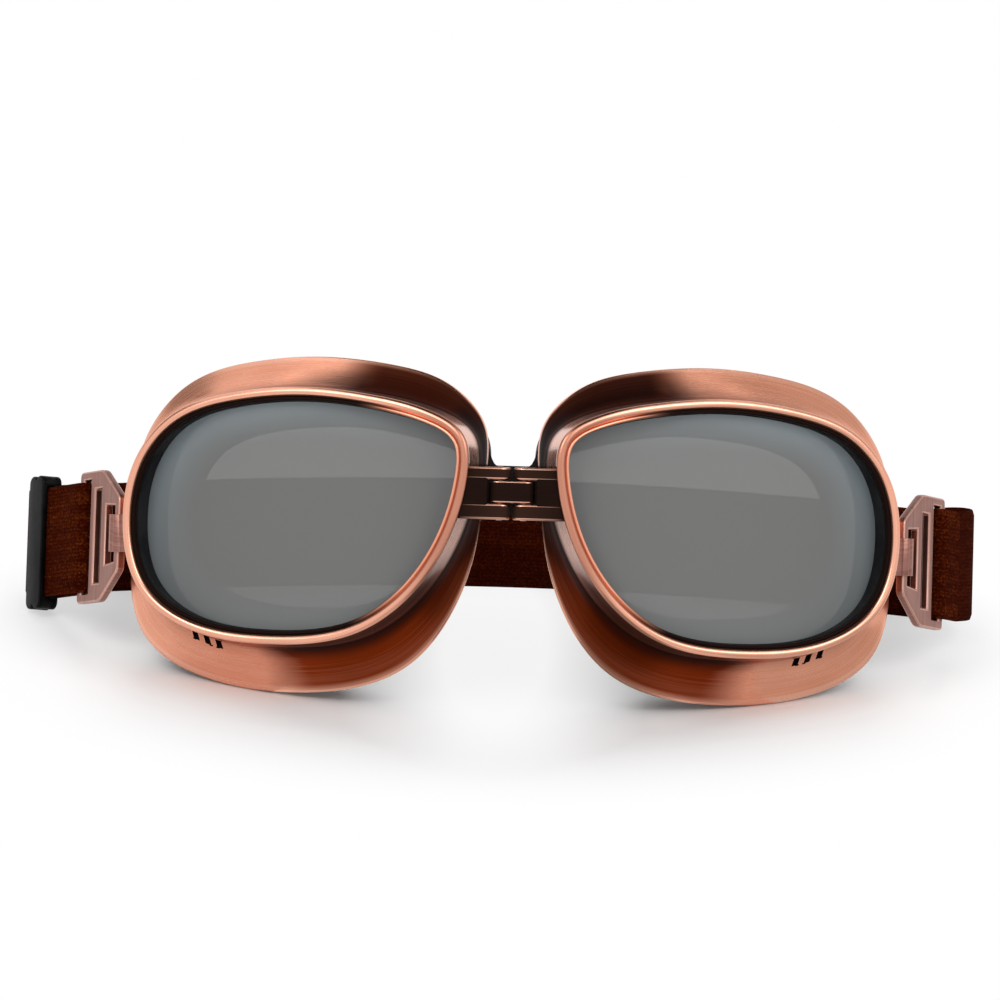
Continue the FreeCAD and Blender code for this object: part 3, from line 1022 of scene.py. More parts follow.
COPPER = CopperFinish()
PINK_COPPER = CopperFinish(name="satin_copper", bright=(0.22, 0.102, 0.085), worn=(0.72, 0.42, 0.34),
                           roughness=(0.28, 0.44), patina_share=0.6)
LENS = SmokeLensFinish()
RUBBER = BlackFinish()
PLASTIC = BlackFinish(name="moulded_plastic", slot="black_plastic", tone=(0.003, 0.003, 0.0033),
                      grey=(0.012, 0.012, 0.0125), grain=3400.0, roughness=(0.30, 0.46),
                      depth=0.015, gloss=0.07)
LEATHER = BlackFinish(name="grained_leather", slot="black_leather", tone=(0.0035, 0.0033, 0.0032),
                      grey=(0.011, 0.0105, 0.010), grain=1300.0, roughness=(0.42, 0.60),
                      depth=0.10, gloss=0.12)
WEBBING = WebbingFinish()
# A darker copy of the webbing: painted shade on the strap's run behind the cups.
SHADED_REAR_WEBBING = WebbingFinish(name="rear_webbing", mid=(0.042, 0.0038, 0.0007),
                             light=(0.10, 0.020, 0.004))


def dressed(piece: Object, finish: Finish) -> Object:
    """Gives a piece its finish's material.

    Args:
        piece: the piece.
        finish: its finish.

    Returns:
        The same piece.
    """
    piece.data.materials.clear()
    piece.data.materials.append(finish.material())
    LOG.info("%s: %d faces in %s", piece.name, len(piece.data.polygons), finish.name)
    return piece


WALL_ZONES = {
    "wall": ((1.0, 2.0, 6.0, 9.5, 12.0), (0.2, 0.9, 0.9, 0.6, 0.0)),
    "cove": ((7.0, 9.0, 10.5, 12.6), (0.0, 1.0, 0.9, 0.0)),
    "flare": ((8.0, 9.5, 12.0, 15.4, 16.0), (0.0, 0.85, 1.0, 0.9, 0.3)),
}


@dataclass
class Eyecup:
    """One eyecup: casting, lens, gasket, inner frame, pad, strap loop and rivets."""

    side: Side
    ring_points: int = 288
    bead_width: float = 2.1
    rim_lip: float = 3.1
    wall: float = 1.4
    wall_depth: float = 9.0
    cup_depth: float = 16.0
    cup_back: float = 16.9
    cup_round: float = 0.32
    flare_shares: Pair = (0.36, 0.72)
    flare_spreads: Triple = (0.10, 0.26, 0.58)
    seat_depth: float = 2.2
    seat_round: float = 0.25
    lens_radius: float = 165.0
    lens_thickness: float = 2.0
    lens_setback: float = 3.0
    lens_inset: float = 2.6
    lens_rings: int = 22
    lens_roll: float = 0.18
    roll_start: float = 0.985
    gasket_slack: float = 0.1
    gasket_back: float = 11.0
    gasket_bore: float = 3.3
    frame_bore: float = 4.6
    frame_slack: float = 0.15
    frame_round: float = 0.3
    flange: float = 1.1
    flange_insets: Pair = (1.7, 1.9)
    pad_slack: float = 0.05
    pad_spread: float = 0.45
    pad_depth: float = 11.0
    pad_width: float = 6.4
    pad_slim: float = 1.8
    pucker: float = 0.22
    swell: float = 0.12
    vent_count: int = 3
    vent_width: float = 1.5
    vent_length: float = 1.7
    vent_depth: float = 11.1
    vent_pitch: float = 2.9
    vent_first: float = -27.0
    vent_range: Pair = (-36.0, -20.9)
    vent_slack: float = 0.02
    vent_faces_below: float = -20.0
    lug_face: float = -42.2
    lug_thickness: float = 2.0
    lug_round: float = 0.3
    lug_start: float = 5.6
    lug_end: float = 11.2
    lug_height: float = 10.4
    loop_drop: float = 5.0
    eye_proud: float = 6.0
    eye_depth: float = 13.5
    loop_height: float = 8.5
    loop_strip: float = 0.8
    loop_eye: float = 1.8
    loop_bend: float = 0.4
    loop_turn_deg: float = 325.0
    loop_round: float = 0.18
    rivet_spacing: float = 4.6
    rivet_radius: float = 1.3
    rivet_height: float = 0.6
    # How much painted shade darkens the top of the nose side.
    top_black: float = 0.85
    outline: Outline = field(init=False)

    def __post_init__(self) -> None:
        """Makes the outline that every ring of the eyecup follows."""
        self.outline = Outline(self.ring_points)

    @property
    def body(self) -> str:
        """The CAD body that the eyecup's pieces ride on."""
        return f"{self.side.word}_eyecup"

    @property
    def vent_places(self) -> np.ndarray:
        """Where the middles of the vents lie on the way to the nose."""
        return self.vent_first + self.vent_pitch * np.arange(self.vent_count)

    @property
    def inner_inset(self) -> float:
        """How far inwards the wall's inner face lies."""
        return self.wall + self.bead_width / 6

    def name(self, piece: str) -> str:
        """A piece's name on this side."""
        return f"{self.side.word}_{piece}"

    def skin(self, piece: str, section: Section,
             edit: Callable[[np.ndarray], np.ndarray] | None = None) -> Object:
        """A closed ring from a section.

        Args:
            piece: the piece's name, without its side.
            section: the profile across the ring.
            edit: moves the grid of points, shaped section by ring by axis.

        Returns:
            The piece, with its path stored on its points.
        """
        rings = np.array([self.outline.ring(*triple) for triple in section.points])
        if edit is not None:
            rings = edit(rings)
        steps = np.linalg.norm(np.diff(rings, axis=0), axis=2).mean(axis=1)
        across = np.concatenate([[0.0], np.cumsum(steps)])
        turns = self.outline.turns
        round_path = np.stack([np.cos(turns), np.sin(turns)], axis=1) * self.outline.length / (2 * math.pi)
        paths = np.zeros((len(rings), len(turns), 3))
        paths[:, :, :2] = round_path
        paths[:, :, 2] = across[:, None]
        points = PLACING.cup(rings.reshape(-1, 3), self.side)
        faces = grid_faces(len(rings), len(turns), True, True)
        name = self.name(piece)
        return new_object(name, build_mesh(name, points, faces, paths.reshape(-1, 3)))

    def frame_section(self) -> tuple[Section, dict[str, np.ndarray]]:
        """The casting's profile.

        Returns:
            The section, and for each of its points how much it belongs to each zone.
        """
        neck, half, inner = self.bead_width / 6, self.bead_width / 2, self.inner_inset
        flare = self.cup_depth - self.wall_depth
        cove, swell = [self.wall_depth + share * flare for share in self.flare_shares]
        wall_spread, cove_spread, swell_spread = self.flare_spreads
        bead_steps = 4
        bead = ((0.9, 0, self.bead_width), (0.25, 0, 1.6 * half), (0.0, 0, half), (0.3, 0, 0.3 * half),
                (0.95, 0, 0.0), (1.6, 0, neck))
        outside = (bead[-1], (self.wall_depth, wall_spread, neck), (cove, cove_spread, 0.3),
                   (swell, swell_spread, 0.15), (self.cup_depth, 1.0, 0.0))
        inside = ((self.cup_back, 1.0, 0.85 * self.wall), (swell + 0.8 * self.wall, swell_spread, self.wall),
                  (cove + 0.7 * self.wall, cove_spread, inner),
                  (self.wall_depth + 0.4 * self.wall, wall_spread, inner), (self.seat_depth, 0, inner))
        section = Section().curve(bead, bead_steps)
        wall_start = len(section.points) - bead_steps
        section.points.pop()
        section.curve(outside, 9)
        section.points.pop()
        outside_end = len(section.points)
        skirt_edge = (*outside[-2:], (self.cup_back, 1.0, 0.0), *inside[:2])
        section.rounded(skirt_edge, self.cup_round)
        edge_end = len(section.points)
        run = Section().curve(inside, 5).points
        section.points += run[1:-1]
        seat_start = len(section.points)
        seat = (run[-2], inside[-1], (self.seat_depth, 0, self.rim_lip), (1.1, 0, self.rim_lip),
                (0.5, 0, self.rim_lip - 0.25), (0.5, 0, self.bead_width + 0.3), bead[0])
        section.rounded(seat, self.seat_round, 3)
        depth = np.array([triple[0] for triple in section.points])
        order = np.arange(len(depth))
        on_wall = (order >= wall_start) & (order < outside_end)
        marks = {zone: np.zeros(len(depth)) for zone in (*WALL_ZONES, "bead", "lip", "inside", "worn")}
        for zone, (depths, shares) in WALL_ZONES.items():
            marks[zone][on_wall] = np.interp(depth[on_wall], depths, shares)
        marks["bead"][:wall_start] = 1.0
        marks["inside"][order >= edge_end] = 1.0
        marks["lip"][order > seat_start] = 1.0
        marks["lip"][:4] = (1.0, 0.9, 0.6, 0.3)
        marks["worn"][:wall_start] = 0.25
        marks["worn"][(order >= outside_end - 2) & (order < edge_end)] = 0.35
        return section, marks

    def tarnish(self, mesh: Mesh, marks: dict[str, np.ndarray]) -> None:
        """Stores the casting's patina in its hollows, with painted shade and painted dark reflection that
        grow towards the nose and over the nose side's top.

        Args:
            mesh: the casting's ring mesh.
            marks: for each point of the profile, how much it belongs to each zone.
        """
        ring = self.outline.ring(0.0, 0.0, 0.0)
        share = ring[:, 0] / self.outline.half_width
        high = ring[:, 2] / self.outline.half_height

        def ramp(low: float | np.ndarray, width: float) -> np.ndarray:
            """A smooth step on the way from temple to nose.

            Args:
                low: where it starts.
                width: how long it takes.

            Returns:
                A value between 0 and 1 for each point of a ring.
            """
            step = np.clip((share - low) / width, 0, 1)
            return step * step * (3 - 2 * step)

        wall, flare, cove, lip = (marks[zone][:, None] for zone in ("wall", "flare", "cove", "lip"))
        nose, corner, bridge = ramp(0.20 * high - 0.14, 0.32), ramp(0.45, 0.45), ramp(0.72, 0.2)
        # Patina in the neck, plus painted shade and painted dark reflection that deepen towards the nose.
        recess = wall * (0.45 + 0.5 * nose - 0.75 * bridge)
        recess = recess + flare * nose * 1.03
        recess = recess + marks["bead"][:, None] * 0.5 * corner
        # Painted shade and painted dark reflection: black on the nose side's flare, top, cove, wall, lip and
        # inside.
        top = self.top_black * nose * np.clip(1.5 * high, 0, 1)
        shaded = np.maximum(corner * (0.55 + 0.45 * np.clip(high + 0.6, 0, 1)), top)
        black = np.maximum(flare * shaded, cove * (0.30 + 0.65 * nose))
        black = np.maximum(black, wall * 0.9 * nose * (1 - bridge))
        black = np.maximum(black, lip * (1 - ramp(0.35, 0.4)))
        black = np.maximum(black, np.clip(marks["inside"][:, None] - lip, 0, 1))
        set_values(mesh, "recess", recess.ravel())
        set_values(mesh, "lacquer", (wall * ramp(0.62, 0.2) * (1 - black)).ravel())
        set_values(mesh, "blackened", 0.99 * black.ravel())
        set_values(mesh, "worn", np.repeat(marks["worn"], self.outline.count))

    def casting(self) -> Object:
        """Bead, wall and flared skirt with vents, hinge boss and temple lug.

        Returns:
            The piece.
        """
        section, marks = self.frame_section()
        shell = self.skin("shell", section)
        self.tarnish(shell.data, marks)
        cutter = self.vents()
        cut = shell.modifiers.new("vents", "BOOLEAN")
        cut.object = cutter
        cut.solver = "EXACT"
        baked(shell)
        bpy.data.objects.remove(cutter)
        self.mark_vents(shell.data)
        piece = joined(self.name("casting"), [taken(shell), self.lug(), *Bridge().ears(self.side)])
        smoothed(piece.data)
        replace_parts(piece, self.name("frame"))
        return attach(dressed(piece, COPPER), self.body)

    def mark_vents(self, mesh: Mesh) -> None:
        """Marks the faces that the vents cut, which the finish paints black as painted shade in the holes.

        Args:
            mesh: the casting's mesh with its vents cut.
        """
        middles = PLACING.uncup(np.array([face.center[:] for face in mesh.polygons]), self.side)
        near = np.abs(middles[:, :1] - self.vent_places).min(axis=1) < self.vent_width / 2 + self.vent_slack
        level = np.abs(middles[:, 1] - self.vent_depth) < self.vent_length / 2 + self.vent_slack
        store = mesh.attributes.new("cut", "FLOAT", "FACE")
        cut = near & level & (middles[:, 2] < self.vent_faces_below)
        store.data.foreach_set("value", np.array(cut, np.float32))

    def vents(self) -> Object:
        """The blocks that cut the vents.

        Returns:
            One object that holds them all.
        """
        points, faces = [], []
        half, low = self.vent_width / 2, self.vent_depth - self.vent_length / 2
        for x in self.vent_places:
            opening = box(x - half, x + half, low, low + self.vent_length)
            base, sides = prism(opening, [], *self.vent_range)
            faces += [tuple(corner + len(points) for corner in face) for face in sides]
            points += base.tolist()
        mesh = build_mesh(self.name("vent_cutter"), PLACING.cup(np.array(points), self.side), faces)
        return new_object(self.name("vent_cutter"), mesh)

    def lug(self) -> Mesh:
        """The flat lug on the temple wall.

        Returns:
            Its mesh.
        """
        plate = box(self.lug_face, self.lug_face + self.lug_thickness, self.lug_start, self.lug_end)
        low = -self.loop_drop - self.lug_height / 2
        points, faces = prism(plate, [], low, low + self.lug_height)
        solid = build_mesh(self.name("lug"), PLACING.cup(points, self.side), faces)
        mesh = taken(bevelled(new_object(self.name("lug"), solid), self.lug_round))
        set_values(mesh, "recess", 0.3)
        return mesh

    def lens(self) -> Object:
        """The curved lens with a ground edge.

        Returns:
            The piece.
        """
        edge = self.outline.ring(0.0, 0.0, self.lens_inset)
        shares = np.concatenate([np.linspace(0.04, 0.97, self.lens_rings), [self.roll_start, 0.995, 1.0]])
        rings = []
        for way, radius in ((1, self.lens_radius), (-1, self.lens_radius - self.lens_thickness)):
            for share in shares[::way]:
                nose, up = edge[:, 0] * share, edge[:, 2] * share
                roll = way * self.lens_roll * max(0.0, (share - self.roll_start) / (1 - self.roll_start)) ** 2
                back = self.lens_setback + self.lens_radius - np.sqrt(radius**2 - nose**2) + roll
                rings.append(np.stack([nose, back, up], axis=1))
        rings = np.array(rings)
        count = self.outline.count
        faces = grid_faces(len(rings), count, False, True)
        points = rings.reshape(-1, 3)
        middles = [points[:count].mean(axis=0), points[-count:].mean(axis=0)]
        front, back = len(points), len(points) + 1
        last = len(points) - count
        for index in range(count):
            faces.append((front, (index + 1) % count, index))
            faces.append((back, last + index, last + (index + 1) % count))
        points = np.vstack([points, middles])
        mesh = build_mesh(self.name("smoke_lens"), PLACING.cup(points, self.side), faces)
        around = np.tile(edge[:, 0] / edge[:, 0].max(), len(rings))
        reach = np.repeat(np.concatenate([shares, shares[::-1]]), count)
        height = np.tile(edge[:, 2] / edge[:, 2].max(), len(rings))
        # Painted paler reflection near the rim on the temple side and the top.
        border = np.clip((reach - 0.66) / 0.3, 0, 1) ** 1.5 * np.clip(0.75 - 0.6 * around, 0, 1)
        border = border * np.clip(0.75 + 0.6 * height, 0.25, 1)
        set_values(mesh, "border", np.concatenate([border, [0.0, 0.0]]))
        piece = new_object(self.name("smoke_lens"), mesh)
        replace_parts(piece, self.name("lens"))
        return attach(dressed(piece, LENS), self.body)

    def gasket(self) -> Object:
        """The black lining that grips the lens edge.

        Returns:
            The piece.
        """
        outer = self.inner_inset + self.gasket_slack
        corners = ((self.seat_depth, 0, outer), (self.seat_depth, 0, self.gasket_bore),
                   (self.gasket_back, 0, self.gasket_bore), (self.gasket_back, 0, outer))
        section = Section().rounded((corners[-1], *corners, corners[0]), self.seat_round)
        piece = self.skin("gasket", section)
        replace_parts(piece, self.name("lens_gasket"))
        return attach(dressed(piece, RUBBER), self.body)

    def inner_frame(self) -> Object:
        """The moulded ring behind the gasket, with its flange.

        Returns:
            The piece.
        """
        outer = self.inner_inset + self.frame_slack
        flange = self.cup_back - self.flange
        back_inset, front_inset = self.flange_insets
        corners = ((self.gasket_back, 0, outer), (self.gasket_back, 0, self.frame_bore),
                   (self.cup_back, 0, self.frame_bore), (self.cup_back, self.pad_spread, back_inset),
                   (flange, self.pad_spread, front_inset), (flange, 0, outer))
        section = Section().rounded((corners[-1], *corners, corners[0]), self.frame_round)
        piece = self.skin("pad_carrier", section)
        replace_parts(piece, self.name("inner_frame"))
        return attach(dressed(piece, PLASTIC), self.body)

    def pad(self) -> Object:
        """The leather covered pad, gathered at its seams.

        Returns:
            The piece.
        """
        front, depth, width, spread = self.cup_back, self.pad_depth, self.pad_width, self.pad_spread
        stops = ((front + self.pad_slack, spread, 1.5), (front + 0.32 * depth, spread, 0.7),
                 (front + 0.70 * depth, 0.9 * spread, 1.2), (front + 0.93 * depth, 0.6 * spread, 0.5 * width),
                 (front + depth, 0.3 * spread, 0.85 * width), (front + 0.91 * depth, 0.0, 1.2 * width),
                 (front + 0.55 * depth, 0.0, 1.3 * width), (front + self.pad_slack, 0.0, 1.1 * width))
        section = Section().curve(stops, 6)
        shares = np.linspace(0.0, 1.0, len(section.points))
        turns = self.outline.turns

        def gather(rings: np.ndarray) -> np.ndarray:
            """Makes the leather ripple at its seams and slims it beside the nose.

            Args:
                rings: the grid of points.

            Returns:
                The moved grid.
            """
            middle = rings.mean(axis=0, keepdims=True)
            away = rings - middle
            seam = np.clip(1 - np.minimum(shares, 1 - shares) / 0.30, 0, 1) ** 1.5
            ripple = np.sin(turns * 41 + 1.7 * np.sin(turns * 3)) * 0.6 + np.sin(turns * 67 + 0.8) * 0.4
            slow = np.sin(turns * 9 + 0.5) * 0.5 + np.sin(turns * 5 + 2.1) * 0.5
            swell = self.pucker * ripple[None, :] * seam[:, None]
            swell = swell + self.swell * slow[None, :] * (1 - seam[:, None])
            reach = np.linalg.norm(away, axis=2)
            beside = np.clip((rings[:, :, 0] / PLACING.rim_half - 0.5) / 0.4, 0, 1)
            rings = rings - np.stack([self.pad_slim * beside, 0 * beside, 0 * beside], axis=2)
            return rings + away * (swell / np.maximum(reach, 1e-6))[:, :, None]

        piece = self.skin("face_pad", section, gather)
        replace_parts(piece, self.name("pad_leather"), self.name("pad_foam"))
        dressed(piece, LEATHER)
        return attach(piece, self.body)

    def loop(self) -> Object:
        """The strip from the lug, rolled round the buckle's bar.

        Returns:
            The piece.
        """
        eye = np.array([-PLACING.rim_half - self.eye_proud, self.eye_depth])
        radius = self.loop_eye + self.loop_strip / 2
        bend = np.array([self.lug_face - self.loop_strip / 2, self.lug_end - self.loop_bend])
        run = eye - bend
        lead = math.atan2(run[1], run[0])
        tilt = math.asin(radius / np.linalg.norm(run))
        start = math.degrees(lead - tilt) + 90
        line = [(bend[0], self.lug_start), (bend[0], self.lug_end - 3 * self.loop_bend)]
        line.append(tuple(bend + 0.25 * np.array([math.cos(lead), math.sin(lead)]) - (0.0, 0.12)))
        line += arc(tuple(eye), radius, start, start - self.loop_turn_deg, 28)
        path = np.array(line)
        heading = headings(path)
        beside = np.stack([-heading[:, 1], heading[:, 0]], axis=1) * self.loop_strip / 2
        outline = [tuple(p) for p in path + beside] + [tuple(p) for p in (path - beside)[::-1]]
        low = -self.loop_drop - self.loop_height / 2
        points, faces = prism(outline, [], low, low + self.loop_height)
        mesh = build_mesh(self.name("tab_loop"), PLACING.cup(points, self.side), faces)
        piece = bevelled(new_object(self.name("tab_loop"), mesh), self.loop_round, 2)
        set_values(piece.data, "recess", 0.12)
        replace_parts(piece, self.name("strap_loop"))
        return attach(dressed(piece, PINK_COPPER), self.body)

    def rivets(self) -> Object:
        """The two domed rivets on the strap loop.

        Returns:
            The piece.
        """
        seat = self.lug_face - self.loop_strip
        middle = (self.lug_start + self.lug_end) / 2
        local = [(seat, middle, -self.loop_drop + share * self.rivet_spacing) for share in (-0.5, 0.5)]
        points = PLACING.cup(np.array(local), self.side)
        out = PLACING.cup(np.array([[seat - 1.0, middle, 0.0], [seat, middle, 0.0]]), self.side)
        piece = RivetRow(self.rivet_radius, self.rivet_height).placed(
            self.name("rivet_heads"), points, out[0] - out[1], PINK_COPPER.material())
        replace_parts(piece, self.name("loop_rivets"))
        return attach(dressed(piece, PINK_COPPER), self.body)

    def build(self) -> list[Object]:
        """All pieces of the eyecup."""
        return [self.casting(), self.lens(), self.gasket(), self.inner_frame(), self.pad(), self.loop(),
                self.rivets()]


@dataclass(frozen=True)
class RivetRow:
    """Domed heads set out on points by a node tree."""

    radius: float
    height: float
    segments: int = 24
    rings: int = 12

    def tree(self, material: Material) -> NodeTree:
        """The node tree: a flattened dome on each point, turned to its axis.

        Args:
            material: the heads' material.

        Returns:
            The tree.
        """
        tree = bpy.data.node_groups.new("rivet_row", "GeometryNodeTree")
        tree.interface.new_socket("Geometry", in_out="INPUT", socket_type="NodeSocketGeometry")
        for label in ("Head radius", "Head height"):
            tree.interface.new_socket(label, in_out="INPUT", socket_type="NodeSocketFloat")
        tree.interface.new_socket("Axis", in_out="INPUT", socket_type="NodeSocketVector")
        tree.interface.new_socket("Geometry", in_out="OUTPUT", socket_type="NodeSocketGeometry")
        tools = Sockets(tree)
        entry, leave = tools.node("NodeGroupInput"), tools.node("NodeGroupOutput")
        dome = tools.node("GeometryNodeMeshUVSphere")
        dome.inputs["Segments"].default_value = self.segments
        dome.inputs["Rings"].default_value = self.rings
        tools.link(entry.outputs["Head radius"], dome.inputs["Radius"])
        flat = tools.node("GeometryNodeTransform")
        squash = tools.node("ShaderNodeCombineXYZ")
        squash.inputs[0].default_value = 1.0
        squash.inputs[1].default_value = 1.0
        flatness = tools.math("DIVIDE", entry.outputs["Head height"], entry.outputs["Head radius"])
        tools.link(flatness, squash.inputs[2])
        tools.link(dome.outputs["Mesh"], flat.inputs["Geometry"])
        tools.link(squash.outputs[0], flat.inputs["Scale"])
        turn = tools.node("FunctionNodeAlignRotationToVector", axis="Z")
        tools.link(entry.outputs["Axis"], turn.inputs["Vector"])
        spots = tools.node("GeometryNodeInstanceOnPoints")
        tools.link(entry.outputs["Geometry"], spots.inputs["Points"])
        tools.link(flat.outputs[0], spots.inputs["Instance"])
        tools.link(turn.outputs[0], spots.inputs["Rotation"])
        last = spots
        for kind in ("GeometryNodeRealizeInstances", "GeometryNodeSetShadeSmooth", "GeometryNodeSetMaterial"):
            after = tools.node(kind)
            tools.link(last.outputs[0], after.inputs[0])
            last = after
        last.inputs["Material"].default_value = material
        tools.link(last.outputs[0], leave.inputs[0])
        return tree

    def placed(self, name: str, points: np.ndarray, axis: np.ndarray, material: Material) -> Object:
        """A piece with a head on each point.

        Args:
            name: the piece's name.
            points: rows in the row frame.
            axis: the way the heads face.
            material: their material.

        Returns:
            The piece with a plain mesh.
        """
        mesh = bpy.data.meshes.new(name)
        mesh.from_pydata(points.tolist(), [], [])
        piece = new_object(name, mesh)
        tree = self.tree(material)
        values = {"Head radius": self.radius * MM, "Head height": self.height * MM, "Axis": tuple(axis)}
        grown = piece.modifiers.new("heads", "NODES")
        grown.node_group = tree
        for item in tree.interface.items_tree:
            if item.in_out == "INPUT" and item.name in values:
                grown[item.identifier] = values[item.name]
        return baked(piece)


@dataclass
class Bridge:
    """The folding bridge: ears on each eyecup, link, pins and the leather strip behind."""

    pin_x: float = 2.7
    ear_radius: float = 2.4
    gap: float = 0.3
    base: float = 0.45
    top: float = 12.15
    upper_ear: float = 2.8
    link_height: float = 4.8
    root_x: float = 12.2
    root_sink: float = 1.0
    ear_black: float = 0.96
    root_black: float = 0.99
    link_black: float = 0.985
    pin_black: float = 0.6
    far_black: float = 0.985
    ear_round: float = 0.45
    link_round: float = 0.3
    arc_steps: int = 16
    pin_radius: float = 0.8
    pin_proud: float = 0.12
    pin_round: float = 0.22
    strip_half: float = 5.8
    strip_back: float = 15.6
    strip_thickness: float = 1.6
    strip_low: float = 0.15
    strip_high: float = 12.75
    strip_arch: float = 1.6
    strip_flare: float = 2.6
    strip_rise: Pair = (1.6, 2.2)
    strip_pillow: float = 0.35
    strip_middle: float = 6.0
    strip_rows: int = 15
    strip_columns: int = 12

    @property
    def link_range(self) -> Pair:
        """The link's lower and upper height."""
        high = self.top - self.upper_ear - self.gap
        return high - self.link_height, high

    def plate(self, name: str, outline: Sequence[Pair], low: float, high: float, width: float) -> Object:
        """A rounded upright plate in the goggles' axes.

        Args:
            name: its name.
            outline: its corners across and back.
            low: its lower height.
            high: its upper height.
            width: the rounding of its edges.

        Returns:
            The piece.
        """
        points, faces = prism(outline, [], low, high)
        return bevelled(new_object(name, build_mesh(name, PLACING.goggles(points), faces)), width)

    def blacken(self, mesh: Mesh, knuckle: float) -> None:
        """Paints shade and dark reflection on a hinge piece, and fades its painted edge highlights away from
        the pins.

        Args:
            mesh: the piece's mesh.
            knuckle: the painted shade share near the pins.
        """
        across = np.array([abs(vertex.co.x / MM - PLACING.home[0]) for vertex in mesh.vertices])
        fade = (self.pin_x + 1, self.root_x - 1)
        set_values(mesh, "blackened", np.interp(across, fade, (knuckle, self.far_black)))
        set_values(mesh, "edge_fade", np.interp(across, fade, (0.0, 1.0)))

    def ears(self, side: Side) -> list[Mesh]:
        """The boss that joins the ears and the two ears, on one eyecup.

        Args:
            side: which eyecup.

        Returns:
            Three closed meshes.
        """
        low, high = self.link_range
        r = self.ear_radius
        ear = [(self.root_x, -r), *arc((self.pin_x, 0), r, 270, 90, self.arc_steps), (self.root_x, r)]
        root = box(self.root_x, self.pin_x + r + self.gap, -r, r)
        plates = ((ear, self.base, low - self.gap), (ear, high + self.gap, self.top),
                  (root, low - self.root_sink, high + self.root_sink))
        meshes = []
        for index, (outline, bottom, top) in enumerate(plates):
            mirrored = [(x * side.value, y) for x, y in outline]
            piece = self.plate(f"{side.word}_ear_{index}", mirrored, bottom, top, self.ear_round)
            self.blacken(piece.data, self.ear_black if outline is ear else self.root_black)
            if outline is root:
                piece.data.attributes.remove(piece.data.attributes["edge"])
            meshes.append(taken(piece))
        return meshes

    def link(self) -> Object:
        """The middle knuckle between the two pins.

        Returns:
            The piece.
        """
        ends = arc((self.pin_x, 0), self.ear_radius, -90, 90, self.arc_steps)
        ends += arc((-self.pin_x, 0), self.ear_radius, 90, 270, self.arc_steps)
        piece = self.plate("hinge_link", ends, *self.link_range, self.link_round)
        self.blacken(piece.data, self.link_black)
        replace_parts(piece, "bridge_link")
        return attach(dressed(piece, COPPER), "bridge")

    def pin(self, side: Side) -> Object:
        """One hinge pin with a rounded head each end.

        Args:
            side: which eyecup turns on it.

        Returns:
            The piece.
        """
        circle = arc((side.value * self.pin_x, 0), self.pin_radius, 0, 345, 23)
        low, high = self.base - self.pin_proud, self.top + self.pin_proud
        piece = self.plate(f"{side.word}_hinge_pin", circle, low, high, self.pin_round)
        set_values(piece.data, "blackened", self.pin_black)
        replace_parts(piece, f"{side.word}_bridge_pin")
        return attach(dressed(piece, COPPER), "bridge")

    def strip(self) -> list[Object]:
        """The leather strip, in two halves that meet at the link.

        Returns:
            The two pieces.
        """
        halves = []
        rows, columns = self.strip_rows, self.strip_columns
        for side in Side:
            across = np.linspace(0.0, self.strip_half, columns) * side.value
            arch = np.sqrt(np.clip(1 - (across / self.strip_half) ** 2, 0, 1))
            rise = np.clip(np.abs(across) / self.strip_rise[0] - self.strip_rise[1], 0, 2) ** 2
            low, high = self.strip_low + self.strip_arch * arch, self.strip_high + self.strip_flare * rise
            points = []
            for way, rest in ((-1, self.strip_pillow), (1, self.strip_thickness - self.strip_pillow)):
                for share in np.linspace(0.0, 1.0, rows):
                    pillow = self.strip_pillow * math.sin(math.pi * share) ** 0.6
                    back = self.strip_back + (rest + way * pillow)
                    height = low + (high - low) * share
                    points.append(np.stack([across, np.full(columns, back), height], axis=1))
            points = np.array(points)
            loop = np.concatenate([points[:rows], points[rows:][::-1]])
            faces = grid_faces(len(loop), columns, True, False)
            for column in (0, columns - 1):
                for row in range(rows - 1):
                    corners = (row, row + 1, 2 * rows - 2 - row, 2 * rows - 1 - row)
                    faces.append(tuple(corner * columns + column for corner in corners))
            name = f"{side.word}_nose_leather"
            piece = new_object(name, build_mesh(name, PLACING.goggles(loop.reshape(-1, 3)), faces))
            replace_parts(dressed(piece, LEATHER), "nose_bridge")
            ends = [(x, self.strip_back, self.strip_middle) for x in (side.value * self.strip_half, 0.0)]
            places = PLACING.goggles(np.array(ends))
            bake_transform(piece)
            halves.append(piece)
        return halves

    def build(self) -> list[Object]:
        """All pieces of the bridge."""
        return [self.link(), self.pin(Side.LEFT), self.pin(Side.RIGHT), *self.strip()]


